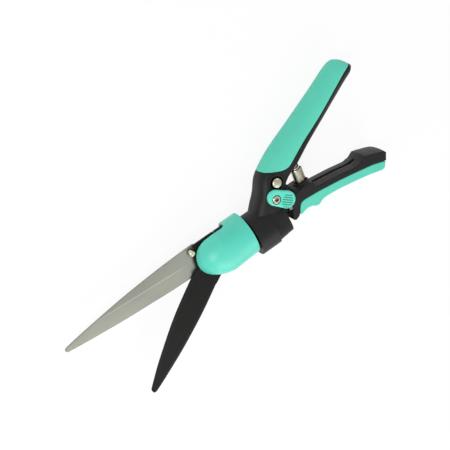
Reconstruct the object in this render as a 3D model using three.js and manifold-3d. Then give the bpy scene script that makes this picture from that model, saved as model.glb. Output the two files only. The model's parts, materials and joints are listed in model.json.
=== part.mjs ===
// One-handed grass shears with a head that turns about the handle's front axis.
// Millimetres, +Z up. The tool lies on its side: +X runs forward along the swivel axis to the blade
// tips, the squeeze lever is on the +Y side of the upper handle, and the swivel axis is y = 0, z = 0
// while the pieces are made. The last step moves the whole tool so that the origin lies under its middle.
import * as THREE from "three";
import { mergeVertices } from "three/addons/utils/BufferGeometryUtils.js";
import Module from "manifold-3d";

const wasm = await Module();
wasm.setup();

// ---------------------------------------------------------------- driving dimensions
const clearance = 0.3; // between pieces that move past or sit in one another
const seatGap = 0.15; // between flat faces that lie on one another

const sleeveRadius = 20; // mint head cover
const sleeveWall = 2;
const sleeveRear = -39;
const sleeveFront = -22; // square cut of the sleeve behind the blades
const domeRadius = 19.8;
const domeLength = 20.2; // rounded nose, from the blade pivot forward

const bladePivotX = -5.5;
const bladeThickness = 2.5;
const fixedReach = 148; // blade tips, from the line across the swivel axis and from the blade pivot
const movingReach = 134.5;
const tipWidth = 4.6;
const fixedGround = 6; // width of the ground bevel along each cutting edge
const movingGround = 2.6;
const backChamferWidth = 2.9; // along the moving blade's back
const backChamferDepth = 0.7;
const faceFall = 0.35; // how far the fixed blade's face falls from its ridge line to its back
const edgeThickness = 0.7;
const bladesOpen = THREE.MathUtils.degToRad(34.8);

const boltRadius = 3;
const boltHeadRadius = 5;
const boltHeadHeight = 3.4;
const nutWidth = 9;
const nutHeight = 3.6;
const washerThickness = 1;
const basePlateThickness = 5;
const rootHalfWidth = 19.7; // from the swivel axis to the fixed blade's straight back at its root
const trayHalfWidth = 17.4; // black tray that holds the fixed blade's root, with a rim on its +Y side
const trayUnderBack = 16; // how far the tray reaches under the blade's back
const trayWall = 2.6;
const bladeRivetRadius = 1.8;
const bladeRivetX = -16;
const stopPinRadius = 2.5;
const crankPinRadius = 1.8;
const yokeThickness = 2.5;
const yokeHalfWidth = 6;
const yokeBlockLength = 10;
const yokeWall = 2;

const rodRadius = 2.5;
const rodHeadRadius = 3.9;
const rodHeadLength = 2.5;
const rodPinRadius = 2;
const rodEyeHalfThickness = 2.9;
const swivelNeckRadius = 10.5;
const swivelNeckRear = -57.5;
const retainerThickness = 1.2;
const retainerRadius = 12.4;
const detentBallRadius = 2;
const detentX = -48;

const skirtRadius = 20.4; // black collar of the housing, eccentric towards the lever
const skirtOffset = 5.3;
const skirtFront = -40.8;
const skirtRear = -60.3;
const skirtStep = 1.7;
const housingRear = -75.6;
const neckHalfWidth = 14.2;
const gripHalfWidth = 13;

const leverPivot = new THREE.Vector2(-79.6, -29);
const rodPinAt = new THREE.Vector2(-82.5, 1);
const leverSqueeze = THREE.MathUtils.degToRad(12.4);
const leverRivetRadius = 3;
const leverRivetHeadRadius = 4.65;
const leverRivetTop = 16.2;
const counterboreRadius = 6.1;
const counterboreFloor = 10.8;
const webHalfThickness = 6.6;
const webSlotHalf = 7.8;
const thrustWasherThickness = 0.8;
const leverHalfWidth = 12.2;
const leverForkHalf = 3.4; // half the fork's gap for the rod's eye
const leverGrooveWidth = 5;
const leverGrooveDepth = 3;

const latchPivot = new THREE.Vector2(-71.5, -17.7);
const latchLobe = new THREE.Vector2(-9, 6.2); // from the latch's screw to the centre of its thumb end
const latchFront = new THREE.Vector2(0.2, -1.9); // from its screw to the centre of its front end
const latchFrontRadius = 7.1;
const latchThumbRadius = 7.9;
const latchBottom = 15.1;
const latchThickness = 3.5;
const latchGrooves = 6;
const latchGrooveSpacing = 1.9;
const latchTurn = THREE.MathUtils.degToRad(-24);
const latchScrewRadius = 2;
const latchScrewHeadRadius = 3.6;
const latchPegRadius = 1.3;
const latchPegReach = 17; // from the screw to the peg
const latchPegBottom = 8.2;
const lugRadius = 1;
const lugTop = 11.5;
const lugLead = 0.03; // how far the stud travels past the peg when the lever is fully shut, in radians

const springTop = new THREE.Vector2(-107.6, -27.4); // seat under the upper grip
const springFoot = new THREE.Vector2(-103.6, -10.6); // socket in the lever
const springStrip = 0.5;
const springEndWidth = 4.5; // the strip's width at its inner end, and over its outer turns
const springWidth = 12.4;
const springTurns = 3;
const springInnerRadius = 2.4;
const springOuterRadius = 5.5;
const springSocketRadius = 6.2;
const springSocketDepth = 2.6;

// ---------------------------------------------------------------- values worked out from them
const fixedTop = -clearance / 2;
const fixedBottom = fixedTop - bladeThickness;
const movingBottom = clearance / 2;
const movingTop = movingBottom + bladeThickness;
const coverFloor = movingTop + 0.75; // height at which the cover opens over the blades
const basePlateTop = fixedBottom - seatGap;
const basePlateBottom = basePlateTop - basePlateThickness;
const bladeRivetY = trayHalfWidth / 2;
const hubRadius = sleeveRadius - sleeveWall - clearance;
const noseX = bladePivotX + domeLength;

const rodArm = rodPinAt.clone().sub(leverPivot);
const rodPinClosed = rodPinAt.clone().rotateAround(leverPivot, leverSqueeze);
const rodTravel = rodPinAt.x - rodPinClosed.x;
const crankRadius = rodTravel / (2 * Math.sin(bladesOpen / 2));
const crankAt = new THREE.Vector2(
  bladePivotX + crankRadius * Math.sin(bladesOpen / 2),
  -crankRadius * Math.cos(bladesOpen / 2),
);
const crankSideways = crankRadius - crankRadius * Math.cos(bladesOpen / 2);
const yokeBottom = movingTop + clearance;
const yokeTop = yokeBottom + yokeThickness;
const yokeBlockFront = sleeveFront - 1.7;
const yokeBlockRear = yokeBlockFront - yokeBlockLength;
const rodHeadFront = yokeBlockFront - 2.5;

// ---------------------------------------------------------------- materials
const mint = { color: 0x67dcc4, roughness: 0.45, metalness: 0 };
const black = { color: 0x2d2d2c, roughness: 0.55, metalness: 0 };
const coated = { color: 0x323331, roughness: 0.5, metalness: 0.3 };
const brushed = { color: 0xb0b3a8, roughness: 0.35, metalness: 1 };
const chrome = { color: 0xc8c4b0, roughness: 0.18, metalness: 1 };
const steel = { color: 0x8c8f90, roughness: 0.4, metalness: 1 };

// ---------------------------------------------------------------- solids
// The signed volume under a triangle list: negative when the faces point inwards.
function signedVolume(position, index) {
  const [a, b, c] = [new THREE.Vector3(), new THREE.Vector3(), new THREE.Vector3()];
  let total = 0;
  for (let i = 0; i < index.count; i += 3) {
    a.fromBufferAttribute(position, index.getX(i));
    b.fromBufferAttribute(position, index.getX(i + 1));
    c.fromBufferAttribute(position, index.getX(i + 2));
    total += a.dot(b.cross(c)) / 6;
  }
  return total;
}

// A closed geometry as a solid, whichever way its profile or rails were drawn.
function solid(geometry) {
  const bare = geometry.clone();
  bare.deleteAttribute("normal");
  bare.deleteAttribute("uv");
  const merged = mergeVertices(bare, 1e-4);
  const triVerts = new Uint32Array(merged.index.array);
  if (signedVolume(merged.attributes.position, merged.index) < 0) {
    triVerts.reverse();
  }
  const vertProperties = new Float32Array(merged.attributes.position.array);
  return new wasm.Manifold(new wasm.Mesh({ numProp: 3, vertProperties, triVerts }));
}

function union(first, ...others) {
  return others.reduce((whole, piece) => whole.add(piece), first);
}

function cut(body, ...tools) {
  return tools.reduce((rest, tool) => rest.subtract(tool), body);
}

function meshOf(name, body, look) {
  const made = body.simplify(0.01).getMesh();
  const geometry = new THREE.BufferGeometry();
  geometry.setAttribute("position", new THREE.BufferAttribute(made.vertProperties, 3));
  geometry.setIndex(new THREE.BufferAttribute(made.triVerts, 1));
  geometry.computeVertexNormals();
  const mesh = new THREE.Mesh(geometry, new THREE.MeshStandardMaterial(look));
  mesh.name = name;
  return mesh;
}

// A flat outline raised between two heights, with rounded rims where a bevel is given.
function plate(shape, bottom, top, bevel = 0, bevelSegments = 3) {
  const geometry = new THREE.ExtrudeGeometry(shape, {
    depth: top - bottom - 2 * bevel,
    bevelEnabled: bevel > 0,
    bevelThickness: bevel,
    bevelSize: bevel,
    bevelOffset: -bevel,
    bevelSegments,
    curveSegments: 10,
  });
  return solid(geometry.translate(0, 0, bottom + bevel));
}

function outline(points) {
  return new THREE.Shape(points.map(([x, y]) => new THREE.Vector2(x, y)));
}

// Two circles and the band between them.
function slotShape(from, to, startRadius, endRadius = startRadius) {
  const along = to.clone().sub(from);
  const heading = along.angle();
  const lean = Math.acos((startRadius - endRadius) / along.length());
  return new THREE.Shape()
    .absarc(from.x, from.y, startRadius, heading + lean, heading - lean + 2 * Math.PI)
    .absarc(to.x, to.y, endRadius, heading - lean, heading + lean);
}

function post(x, y, radius, bottom, top, sides = 24) {
  const geometry = new THREE.CylinderGeometry(radius, radius, top - bottom, sides);
  return solid(geometry.rotateX(Math.PI / 2).translate(x, y, (top + bottom) / 2));
}

// A profile of [height, radius] pairs turned about the Z axis at (x, y).
function turnedUp(profile, x, y, sides = 24) {
  const points = profile.map(([height, radius]) => new THREE.Vector2(radius, height));
  return solid(new THREE.LatheGeometry(points, sides).rotateX(Math.PI / 2).translate(x, y, 0));
}

// A profile of [x, radius] pairs turned about the swivel axis.
function turnedAlong(profile, sides = 40, y = 0) {
  const points = profile.map(([x, radius]) => new THREE.Vector2(radius, x));
  return solid(new THREE.LatheGeometry(points, sides).rotateZ(-Math.PI / 2).translate(0, y, 0));
}

function bar(radius, rear, front, sides = 24, y = 0) {
  return turnedAlong([[rear, 0], [rear, radius], [front, radius], [front, 0]], sides, y);
}

function box(from, to) {
  const size = to.map((value, i) => value - from[i]);
  const middle = to.map((value, i) => (value + from[i]) / 2);
  return solid(new THREE.BoxGeometry(...size).translate(...middle));
}

// A closed skin through rings of points, all of one count, with a flat cap on each end.
function skin(rings) {
  const around = rings[0].length;
  const position = rings.flat().flatMap((point) => [point.x, point.y, point.z]);
  const index = [];
  for (let i = 0; i + 1 < rings.length; i++) {
    for (let j = 0; j < around; j++) {
      const next = (j + 1) % around;
      const [a, b] = [i * around + j, i * around + next];
      index.push(a, b, a + around, b, b + around, a + around);
    }
  }
  for (const [start, turn] of [[0, 1], [(rings.length - 1) * around, -1]]) {
    for (let j = 1; j + 1 < around; j++) {
      const fan = [start, start + j + 1, start + j];
      index.push(...(turn > 0 ? fan : fan.reverse()));
    }
  }
  const geometry = new THREE.BufferGeometry();
  geometry.setAttribute("position", new THREE.Float32BufferAttribute(position, 3));
  return solid(geometry.setIndex(index));
}

// A body between two rails in the XY plane: at each station the section is a superellipse that
// spans from one rail to the other and reaches halfWidth(t) up and down.
function railBody({ outer, inner, halfWidth, power, stations = 26, around = 28, from = 0, to = 1 }) {
  const rails = [outer, inner].map(
    (points) => new THREE.SplineCurve(points.map(([x, y]) => new THREE.Vector2(x, y))),
  );
  const rings = [];
  for (let i = 0; i <= stations; i++) {
    const t = from + ((to - from) * i) / stations;
    const [a, b] = rails.map((rail) => rail.getPoint(t));
    const middle = a.clone().add(b).multiplyScalar(0.5);
    const half = b.clone().sub(a).multiplyScalar(0.5);
    const ring = [];
    for (let j = 0; j < around; j++) {
      const angle = (2 * Math.PI * j) / around;
      const [across, up] = [Math.cos(angle), Math.sin(angle)].map(
        (value) => Math.sign(value) * Math.abs(value) ** (2 / power(t)),
      );
      ring.push(
        new THREE.Vector3(middle.x + half.x * across, middle.y + half.y * across, halfWidth(t) * up),
      );
    }
    rings.push(ring);
  }
  return skin(rings);
}

const smooth = (t, start, end) => THREE.MathUtils.smoothstep(t, start, end);
const mix = THREE.MathUtils.lerp;

// ---------------------------------------------------------------- blades
// A blade along +X from its root: straight flat face on one side, ground to a thin cutting edge on
// the other face. back(s) and edge(s) are the two rims at distance s; side is +1 or -1 for the rim
// that cuts, flat and ground are the heights of the two faces. The flat face falls towards the back
// beyond the line ridge(s) by fall(s), and the other face has a chamfer along the back.
function bladeBody({
  root, tip, rims, side, flat, ground, bevel, chamfer, ridge = rims.back, fall = () => 0,
}) {
  const { back, edge } = rims;
  const stations = 22;
  const rings = [];
  const inwards = Math.sign(ground - flat);
  const thin = flat + inwards * edgeThickness;
  for (let i = 0; i <= stations; i++) {
    const s = root + (tip - root) * (1 - (1 - i / stations) ** 1.6);
    const [rim, cutting] = [back(s), edge(s)];
    const across = Math.abs(cutting - rim);
    const crest = rim + side * Math.max(0.1 * across, side * (ridge(s) - rim));
    const share = Math.min(chamfer, 0.2 * across);
    rings.push([
      new THREE.Vector3(s, rim, flat + inwards * fall(s)),
      new THREE.Vector3(s, crest, flat),
      new THREE.Vector3(s, cutting, flat),
      new THREE.Vector3(s, cutting, thin),
      new THREE.Vector3(s, cutting - side * Math.min(bevel, 0.6 * across), ground),
      new THREE.Vector3(s, rim + side * share, ground),
      new THREE.Vector3(s, rim, ground - inwards * backChamferDepth * Math.min(1, share / backChamferWidth)),
    ]);
  }
  return skin(rings);
}

// The rims of a blade as smooth curves through a few places [distance, height], drawn together in a
// round of half the tip's width at the tip.
function bladeRims(tip, backPoints, edgePoints) {
  const height = (points) => {
    const curve = new THREE.SplineCurve(points.map(([s, y]) => new THREE.Vector2(s, y)));
    const places = curve.getPoints(60);
    return (s) => {
      const after = Math.max(1, places.findIndex((point) => point.x >= s) + 1 || places.length) - 1;
      const [low, high] = [places[Math.max(0, after - 1)], places[after]];
      return mix(low.y, high.y, high === low ? 0 : (s - low.x) / (high.x - low.x));
    };
  };
  const [backAt, edgeAt] = [height(backPoints), height(edgePoints)];
  const radius = tipWidth / 2;
  const closing = (s) => {
    const inside = Math.max(0, s - (tip - radius)) / radius;
    return 0.9 * (1 - Math.sqrt(Math.max(0, 1 - inside * inside)));
  };
  const drawn = (own, other) => (s) => mix(own(s), (own(s) + other(s)) / 2, closing(s));
  return { back: drawn(backAt, edgeAt), edge: drawn(edgeAt, backAt) };
}

function fixedBlade() {
  const rims = bladeRims(
    fixedReach,
    [[4, -rootHalfWidth], [40, -18.5], [78, -15.8], [110, -12.1], [134, -8.8], [fixedReach, -6.4]],
    [[4, 7], [40, 6], [68, 4.3], [94, 2.5], [118, 0.2], [134, -1.5], [fixedReach, -3.3]],
  );
  const { back, edge } = rims;
  const root = 12;
  const [ridgeStart, ridgeEnd] = [20, 116]; // the ridge line runs into the back at its end
  const ridge = (s) => mix(-5.9, -11.9, (s - ridgeStart) / (ridgeEnd - ridgeStart));
  const fadesIn = (s) => smooth(s, root + 1, ridgeStart + 12);
  const fadesOut = (s) => 1 - smooth(s, ridgeEnd - 40, ridgeEnd);
  const steel = bladeBody({
    root, tip: fixedReach, rims, side: 1, flat: fixedTop, ground: fixedBottom, bevel: fixedGround,
    chamfer: 0.4, ridge, fall: (s) => faceFall * fadesIn(s) * fadesOut(s),
  });
  const seat = trayHalfWidth - trayWall - clearance;
  const heel = new THREE.Shape();
  heel.moveTo(sleeveFront + clearance, -rootHalfWidth);
  heel.lineTo(root - 8, -rootHalfWidth);
  heel.lineTo(root + 1, back(root + 1));
  heel.lineTo(root + 1, edge(root + 1));
  heel.quadraticCurveTo(7, 8, 3, 11);
  heel.quadraticCurveTo(-2, seat, -9, seat);
  heel.lineTo(sleeveFront + clearance, seat);
  const holes = [
    post(bladePivotX, 0, boltRadius + clearance, fixedBottom - 1, fixedTop + 1),
    post(stopPinX, stopPinY, stopPinRadius + clearance, fixedBottom - 1, fixedTop + 1),
    ...[-1, 1].map((side) =>
      post(bladeRivetX, side * bladeRivetY, bladeRivetRadius + clearance, fixedBottom - 1, 1, 20)),
  ];
  return cut(union(steel, plate(heel, fixedBottom, fixedTop)), ...holes);
}

// The open stop stands just ahead of the moving blade's heel.
const stopPinX = 13.8;
const stopPinY = -15.2;
const stopPinTop = 6.2;
const heelFront = 10.6; // the open blade's heel: its front corner and where its straight side ends
const heelRear = -11.1;
const trayFront = 7.5; // where the tray's rim ends beside the blade's shoulder

// The moving blade lies along +X when shut and is turned open about its pivot. It is drawn in the
// shut place, with the pivot at x = 0, apart from its heel, whose front rim meets the stop pin open.
function movingBlade() {
  const rims = bladeRims(
    movingReach,
    [[20, 11.9], [48, 11.7], [72, 10.3], [96, 7.9], [120, 4.3], [movingReach, 1.6]],
    [[20, -12.1], [44, -12.4], [64, -12], [80, -10.7], [96, -8.9], [112, -6.8], [128, -3.9],
      [movingReach, -2.6]],
  );
  const { back, edge } = rims;
  const root = 24;
  const steel = bladeBody({
    root, tip: movingReach, rims, side: -1, flat: movingBottom, ground: movingTop, bevel: movingGround,
    chamfer: backChamferWidth,
  });
  const polar = (radius, angle) => new THREE.Vector2(radius * Math.cos(angle), radius * Math.sin(angle));
  const stop = new THREE.Vector2(stopPinX - bladePivotX, stopPinY);
  const stopWidth = Math.asin((stopPinRadius + clearance) / stop.length());
  const throatRadius = stop.length() - stopPinRadius - 3 * clearance;
  const throatStart = stop.angle() - 2 * Math.PI + stopWidth + 0.02;
  const heelFace = stop.angle() - 2 * Math.PI - bladesOpen - stopWidth;
  const centre = new THREE.Vector2();
  const drawnOpen = (x, y) => new THREE.Vector2(x - bladePivotX, y).rotateAround(centre, -bladesOpen);
  const corner = drawnOpen(heelFront, -rootHalfWidth);
  const rearCorner = drawnOpen(heelRear, -rootHalfWidth);
  const crank = polar(crankRadius, -Math.PI / 2 - bladesOpen / 2);
  const heel = new THREE.Shape();
  heel.moveTo(root + 1, edge(root + 1));
  heel.lineTo(root - 1, edge(root - 1));
  heel.absarc(0, 0, throatRadius, throatStart, heelFace, true);
  heel.lineTo(corner.x, corner.y);
  heel.lineTo(rearCorner.x, rearCorner.y);
  heel.lineTo(rearCorner.x, -4);
  heel.quadraticCurveTo(rearCorner.x, 4, -9, 7);
  heel.quadraticCurveTo(0, 14, root + 1, back(root + 1));
  const shut = cut(
    union(steel, plate(heel, movingBottom, movingTop)),
    post(0, 0, boltRadius + clearance, movingBottom - 1, movingTop + 1),
    post(crank.x, crank.y, crankPinRadius + seatGap, movingBottom - 1, movingTop + 1),
  );
  return shut.rotate([0, 0, THREE.MathUtils.radToDeg(bladesOpen)]).translate([bladePivotX, 0, 0]);
}

function stopPin() {
  return turnedUp(
    [[fixedBottom - 1.4, 0], [fixedBottom - 1.4, 2.6], [fixedBottom - 0.9, stopPinRadius + 1],
      [fixedBottom - seatGap, stopPinRadius + 1], [fixedBottom - seatGap, stopPinRadius],
      [stopPinTop - 0.6, stopPinRadius], [stopPinTop, stopPinRadius - 0.6], [stopPinTop, 0]],
    stopPinX, stopPinY, 24,
  );
}

function crankPin() {
  return turnedUp(
    [[movingBottom + 0.05, 0], [movingBottom + 0.05, crankPinRadius], [yokeTop + 0.4, crankPinRadius],
      [yokeTop + 0.8, crankPinRadius - 0.5], [yokeTop + 0.8, 0]],
    crankAt.x, crankAt.y, 20,
  );
}

function bladeRivet(side) {
  return turnedUp(
    [[basePlateBottom - 1, 0], [basePlateBottom - 1, 2.4], [basePlateBottom - seatGap, 3.2],
      [basePlateBottom - seatGap, bladeRivetRadius], [fixedTop - 0.05, bladeRivetRadius],
      [fixedTop - 0.05, 0]],
    bladeRivetX, side * bladeRivetY, 20,
  );
}

// ---------------------------------------------------------------- pivot bolt and its nut
const washerTop = basePlateBottom - seatGap;
const washerBottom = washerTop - washerThickness;
const springWasherTop = washerBottom - seatGap;
const springWasherThickness = 1.4;
const nutTop = springWasherTop - springWasherThickness - seatGap;
const nutBottom = nutTop - nutHeight;

function pivotBolt() {
  const headBottom = movingTop + seatGap;
  const headTop = headBottom + boltHeadHeight;
  const body = turnedUp(
    [[nutBottom - 0.9, 0], [nutBottom - 0.9, boltRadius - 0.6], [nutBottom - 0.3, boltRadius],
      [headBottom, boltRadius], [headBottom, boltHeadRadius], [headTop - 0.7, boltHeadRadius],
      [headTop, boltHeadRadius - 0.7], [headTop, 0]],
    bladePivotX, 0,
  );
  return cut(body, post(bladePivotX, 0, 2.3, headTop - 1.9, headTop + 1, 6));
}

function hexNut() {
  const across = nutWidth / 2 / Math.cos(Math.PI / 6);
  const blank = post(bladePivotX, 0, across, nutBottom, nutTop, 6);
  const rims = turnedUp(
    [[nutBottom, 0], [nutBottom, nutWidth / 2], [nutBottom + 0.6, across], [nutTop - 0.6, across],
      [nutTop, nutWidth / 2], [nutTop, 0]],
    bladePivotX, 0, 24,
  );
  return cut(blank.intersect(rims), post(bladePivotX, 0, boltRadius + seatGap, nutBottom - 1, nutTop + 1));
}

function pivotWasher() {
  return cut(
    post(bladePivotX, 0, 6, washerBottom, washerTop, 28),
    post(bladePivotX, 0, boltRadius + clearance, washerBottom - 1, washerTop + 1),
  );
}

function springWasher() {
  const bottom = springWasherTop - springWasherThickness;
  return cut(
    post(bladePivotX, 0, 5.2, bottom, springWasherTop, 28),
    post(bladePivotX, 0, boltRadius + clearance, bottom - 1, springWasherTop + 1),
    box([bladePivotX, -0.5, bottom - 1], [bladePivotX + 6, 0.5, springWasherTop + 1]),
  );
}

// ---------------------------------------------------------------- head
// Outer form of the cover, less a skin of the given thickness: a sleeve that narrows a little
// towards the blade pivot and closes there in a rounded nose.
function coverForm(shrink, rear, nose = shrink) {
  const reach = noseX - nose - bladePivotX;
  const profile = [[rear, 0], [rear, sleeveRadius - shrink], [sleeveFront / 2 - 1, sleeveRadius - shrink]];
  const tapered = 3;
  for (let i = 1; i <= tapered; i++) {
    const t = i / tapered;
    const x = mix(sleeveFront / 2, bladePivotX, t);
    profile.push([x, mix(sleeveRadius, domeRadius, smooth(t, 0, 1)) - shrink]);
  }
  const steps = 9;
  for (let i = 1; i <= steps; i++) {
    const angle = (i / steps) * (Math.PI / 2);
    const radius = i < steps ? (domeRadius - shrink) * Math.cos(angle) : 0;
    profile.push([bladePivotX + reach * Math.sin(angle), radius]);
  }
  return turnedAlong(profile, 44);
}

const coverScrewRadius = 1.6;
const coverScrewHeadRadius = 3.1;
const coverScrewPlaces = [-25.8, -34.6];

function coverScrewForm(x, grow, tip) {
  const head = -sleeveRadius + 0.15;
  return turnedUp(
    [[head - grow * 3, 0], [head - grow * 3, coverScrewHeadRadius + grow],
      [head, coverScrewHeadRadius + grow], [head + 1.5, coverScrewRadius + grow],
      [tip, coverScrewRadius + grow], [tip, 0]],
    x, 0, 24,
  );
}

function headCover() {
  const shell = cut(coverForm(0, sleeveRear), coverForm(sleeveWall, sleeveRear - 1));
  const underBlades = box([sleeveFront, -30, -30], [noseX + 5, 30, coverFloor]);
  const corner = new THREE.CylinderGeometry(1.7, 1.7, 60, 20);
  const notch = solid(corner.translate(sleeveFront + 0.4, 0, coverFloor - 1.7));
  const screws = coverScrewPlaces.map((x) => coverScrewForm(x, clearance, -10));
  return cut(shell, underBlades, notch, ...screws);
}

function coverScrew(x) {
  const socket = post(x, 0, 1.2, -sleeveRadius - 1, -sleeveRadius + 1, 6);
  return cut(coverScrewForm(x, 0, -9.5), socket);
}

const channelHalf = yokeHalfWidth + clearance;
const channelRear = yokeBlockRear - rodTravel - 0.6;

// The hub that fills the sleeve, the neck that turns in the housing and the plate under the blades.
function headBase() {
  const hub = turnedAlong(
    [[sleeveFront, 0], [sleeveFront, hubRadius], [sleeveRear + 1, hubRadius], [sleeveRear, hubRadius - 1],
      [sleeveRear, swivelNeckRadius], [swivelNeckRear + 1, swivelNeckRadius],
      [swivelNeckRear, swivelNeckRadius - 1], [swivelNeckRear, 0]],
    48,
  );
  const neck = trayHalfWidth - 3;
  const tray = outline([[sleeveFront - 2, -neck], [sleeveFront + clearance, -trayUnderBack],
    [trayFront - 2, -trayUnderBack], [trayFront, 2 - trayUnderBack], [trayFront, trayHalfWidth - 9],
    [trayFront - 5, trayHalfWidth - 2], [trayFront - 12, trayHalfWidth],
    [sleeveFront + clearance, trayHalfWidth - 1.2], [sleeveFront + clearance, neck],
    [sleeveFront - 2, neck]]);
  const underPlate = plate(tray, basePlateBottom, fixedTop - 0.05, 0.6, 2);
  const seat = box(
    [sleeveFront, -2 * trayHalfWidth, basePlateTop],
    [trayFront + 5, trayHalfWidth - trayWall, 5],
  );
  const rib = turnedAlong(
    [[sleeveFront - 1, 0], [sleeveFront - 1, 15], [sleeveFront + 7, 8.5], [sleeveFront + 7, 0]], 32,
  ).intersect(box([-60, -12, -30], [60, 12, basePlateTop]));
  const channel = box([channelRear, -channelHalf, -channelHalf],
    [sleeveFront + 8, channelHalf, yokeTop + clearance]);
  const armWay = box([sleeveFront - rodTravel - 4, -13.5, yokeBottom - clearance],
    [sleeveFront + 8, channelHalf, yokeTop + clearance]);
  const upperChannel = channel.subtract(box([sleeveFront, -30, -30], [60, 30, 0]));
  const tools = [
    upperChannel,
    armWay,
    bar(rodRadius + clearance, swivelNeckRear - 1, channelRear + 1),
    post(bladePivotX, 0, boltRadius + clearance, basePlateBottom - 1, basePlateTop + 1),
    ...[-1, 1].flatMap((side) => [
      post(bladeRivetX, side * bladeRivetY, bladeRivetRadius + clearance, -20, basePlateTop + 1, 20),
      post(bladeRivetX, side * bladeRivetY, 3.5, -20, basePlateBottom, 20),
    ]),
    ...coverScrewPlaces.map((x) => post(x, 0, coverScrewRadius + seatGap, -25, -9, 20)),
    cut(bar(swivelNeckRadius + 2, retainerRearFace - clearance, retainerFrontFace + clearance, 36),
      bar(retainerBore - clearance, retainerRearFace - 2, retainerRearFace + 4, 40)),
    detentGroove(),
  ];
  return cut(union(hub, cut(underPlate, seat), rib, sideGuard()), ...tools);
}

// A small black guard closes the gap between the cover and the fixed blade behind the turning heel.
function sideGuard() {
  const heelSweep = Math.hypot(heelRear - bladePivotX, rootHalfWidth) + clearance;
  const inside = hubRadius - 1;
  const shape = outline([[sleeveFront - 1, -8], [sleeveFront - 1, 1 - inside],
    [sleeveFront + clearance, -inside], [sleeveFront + clearance, -rootHalfWidth],
    [heelRear, -rootHalfWidth], [heelRear, -8]]);
  return cut(
    plate(shape, fixedTop + seatGap, coverFloor - clearance),
    post(bladePivotX, 0, heelSweep, fixedTop, coverFloor + 1, 64),
  );
}

const retainerRearFace = -55.4;
const retainerFrontFace = retainerRearFace + retainerThickness;
const retainerBore = swivelNeckRadius - 1.6;

// A split ring in the neck's groove keeps the head in the housing.
function retainerRing() {
  const opening = box([retainerRearFace - 1, -4, -20], [retainerFrontFace + 1, 4, 0]);
  return cut(
    bar(retainerRadius, retainerRearFace, retainerFrontFace, 40),
    bar(retainerBore, retainerRearFace - 1, retainerFrontFace + 1, 40),
    opening,
  );
}

// The neck's running groove for the detent ball, with a deeper dimple every quarter turn.
function detentGroove() {
  const track = new THREE.TorusGeometry(detentBallY, detentBallRadius + clearance, 8, 24);
  const dimples = [0, 1, 2, 3].map((quarter) => {
    const ball = new THREE.SphereGeometry(detentBallRadius + clearance + 0.35, 12, 6);
    return solid(ball.translate(0, detentBallY, 0).rotateX((quarter * Math.PI) / 2).translate(detentX, 0, 0));
  });
  return union(solid(track.rotateY(Math.PI / 2).translate(detentX, 0, 0)), ...dimples);
}

const detentBallY = swivelNeckRadius + 0.9;
const detentSpringLength = 6;

function detentBall() {
  return solid(new THREE.SphereGeometry(detentBallRadius, 14, 9).translate(detentX, detentBallY, 0));
}

// A strip or wire swept as one unbroken body through frames { at, across, along, out }.
function sweptStrip(frames, halfAlong, halfOut) {
  return skin(frames.map(({ at, along, out }, i) => [[1, 1], [-1, 1], [-1, -1], [1, -1]].map(([u, v]) =>
    at.clone().addScaledVector(along, u * halfAlong(i)).addScaledVector(out, v * halfOut))));
}

function detentSpring() {
  const turns = 4;
  const perTurn = 8;
  const radius = 1.5;
  const start = detentBallY + detentBallRadius + clearance + 0.3;
  const frames = [];
  for (let i = 0; i <= turns * perTurn; i++) {
    const angle = (2 * Math.PI * i) / perTurn;
    const out = new THREE.Vector3(Math.cos(angle), 0, Math.sin(angle));
    const at = new THREE.Vector3(detentX, start + (detentSpringLength * i) / (turns * perTurn), 0);
    frames.push({ at: at.addScaledVector(out, radius), along: new THREE.Vector3(0, 1, 0), out });
  }
  return sweptStrip(frames, () => 0.25, 0.25);
}

// ---------------------------------------------------------------- rod and yoke
function yoke() {
  const block = box([yokeBlockRear, -yokeHalfWidth, -yokeHalfWidth],
    [yokeBlockFront, yokeHalfWidth, yokeTop]);
  const slotReach = crankSideways / 2 + crankPinRadius + clearance + yokeWall;
  const middleY = crankAt.y - crankSideways / 2;
  const arm = new THREE.Shape();
  arm.moveTo(yokeBlockFront - 3, yokeHalfWidth - 1.5);
  arm.lineTo(yokeBlockFront + 2, yokeHalfWidth - 1.5);
  arm.lineTo(crankAt.x - 8, -boltHeadRadius - 0.6);
  arm.lineTo(crankAt.x, -boltHeadRadius - 0.6);
  arm.absarc(crankAt.x, middleY, slotReach, Math.PI / 3, -Math.PI / 2, true);
  arm.lineTo(crankAt.x - 6, middleY - slotReach);
  arm.lineTo(yokeBlockFront - 3, -yokeHalfWidth);
  const slot = slotShape(
    new THREE.Vector2(crankAt.x, crankAt.y + 0.15),
    new THREE.Vector2(crankAt.x, crankAt.y - crankSideways - 0.15),
    crankPinRadius + clearance,
  );
  const rodWay = union(
    bar(rodRadius + clearance, yokeBlockRear - 1, rodHeadFront),
    bar(rodHeadRadius + clearance, rodHeadFront - rodHeadLength - clearance, rodHeadFront + clearance),
    box([yokeBlockRear - 1, -rodRadius - clearance, -10], [rodHeadFront, rodRadius + clearance, 0]),
    box([rodHeadFront - rodHeadLength - clearance, -rodHeadRadius - clearance, -10],
      [rodHeadFront + clearance, rodHeadRadius + clearance, 0]),
  );
  const body = union(block, plate(arm, yokeBottom, yokeTop));
  return cut(body, rodWay, plate(slot, yokeBottom - 1, yokeTop + 1));
}

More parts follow.
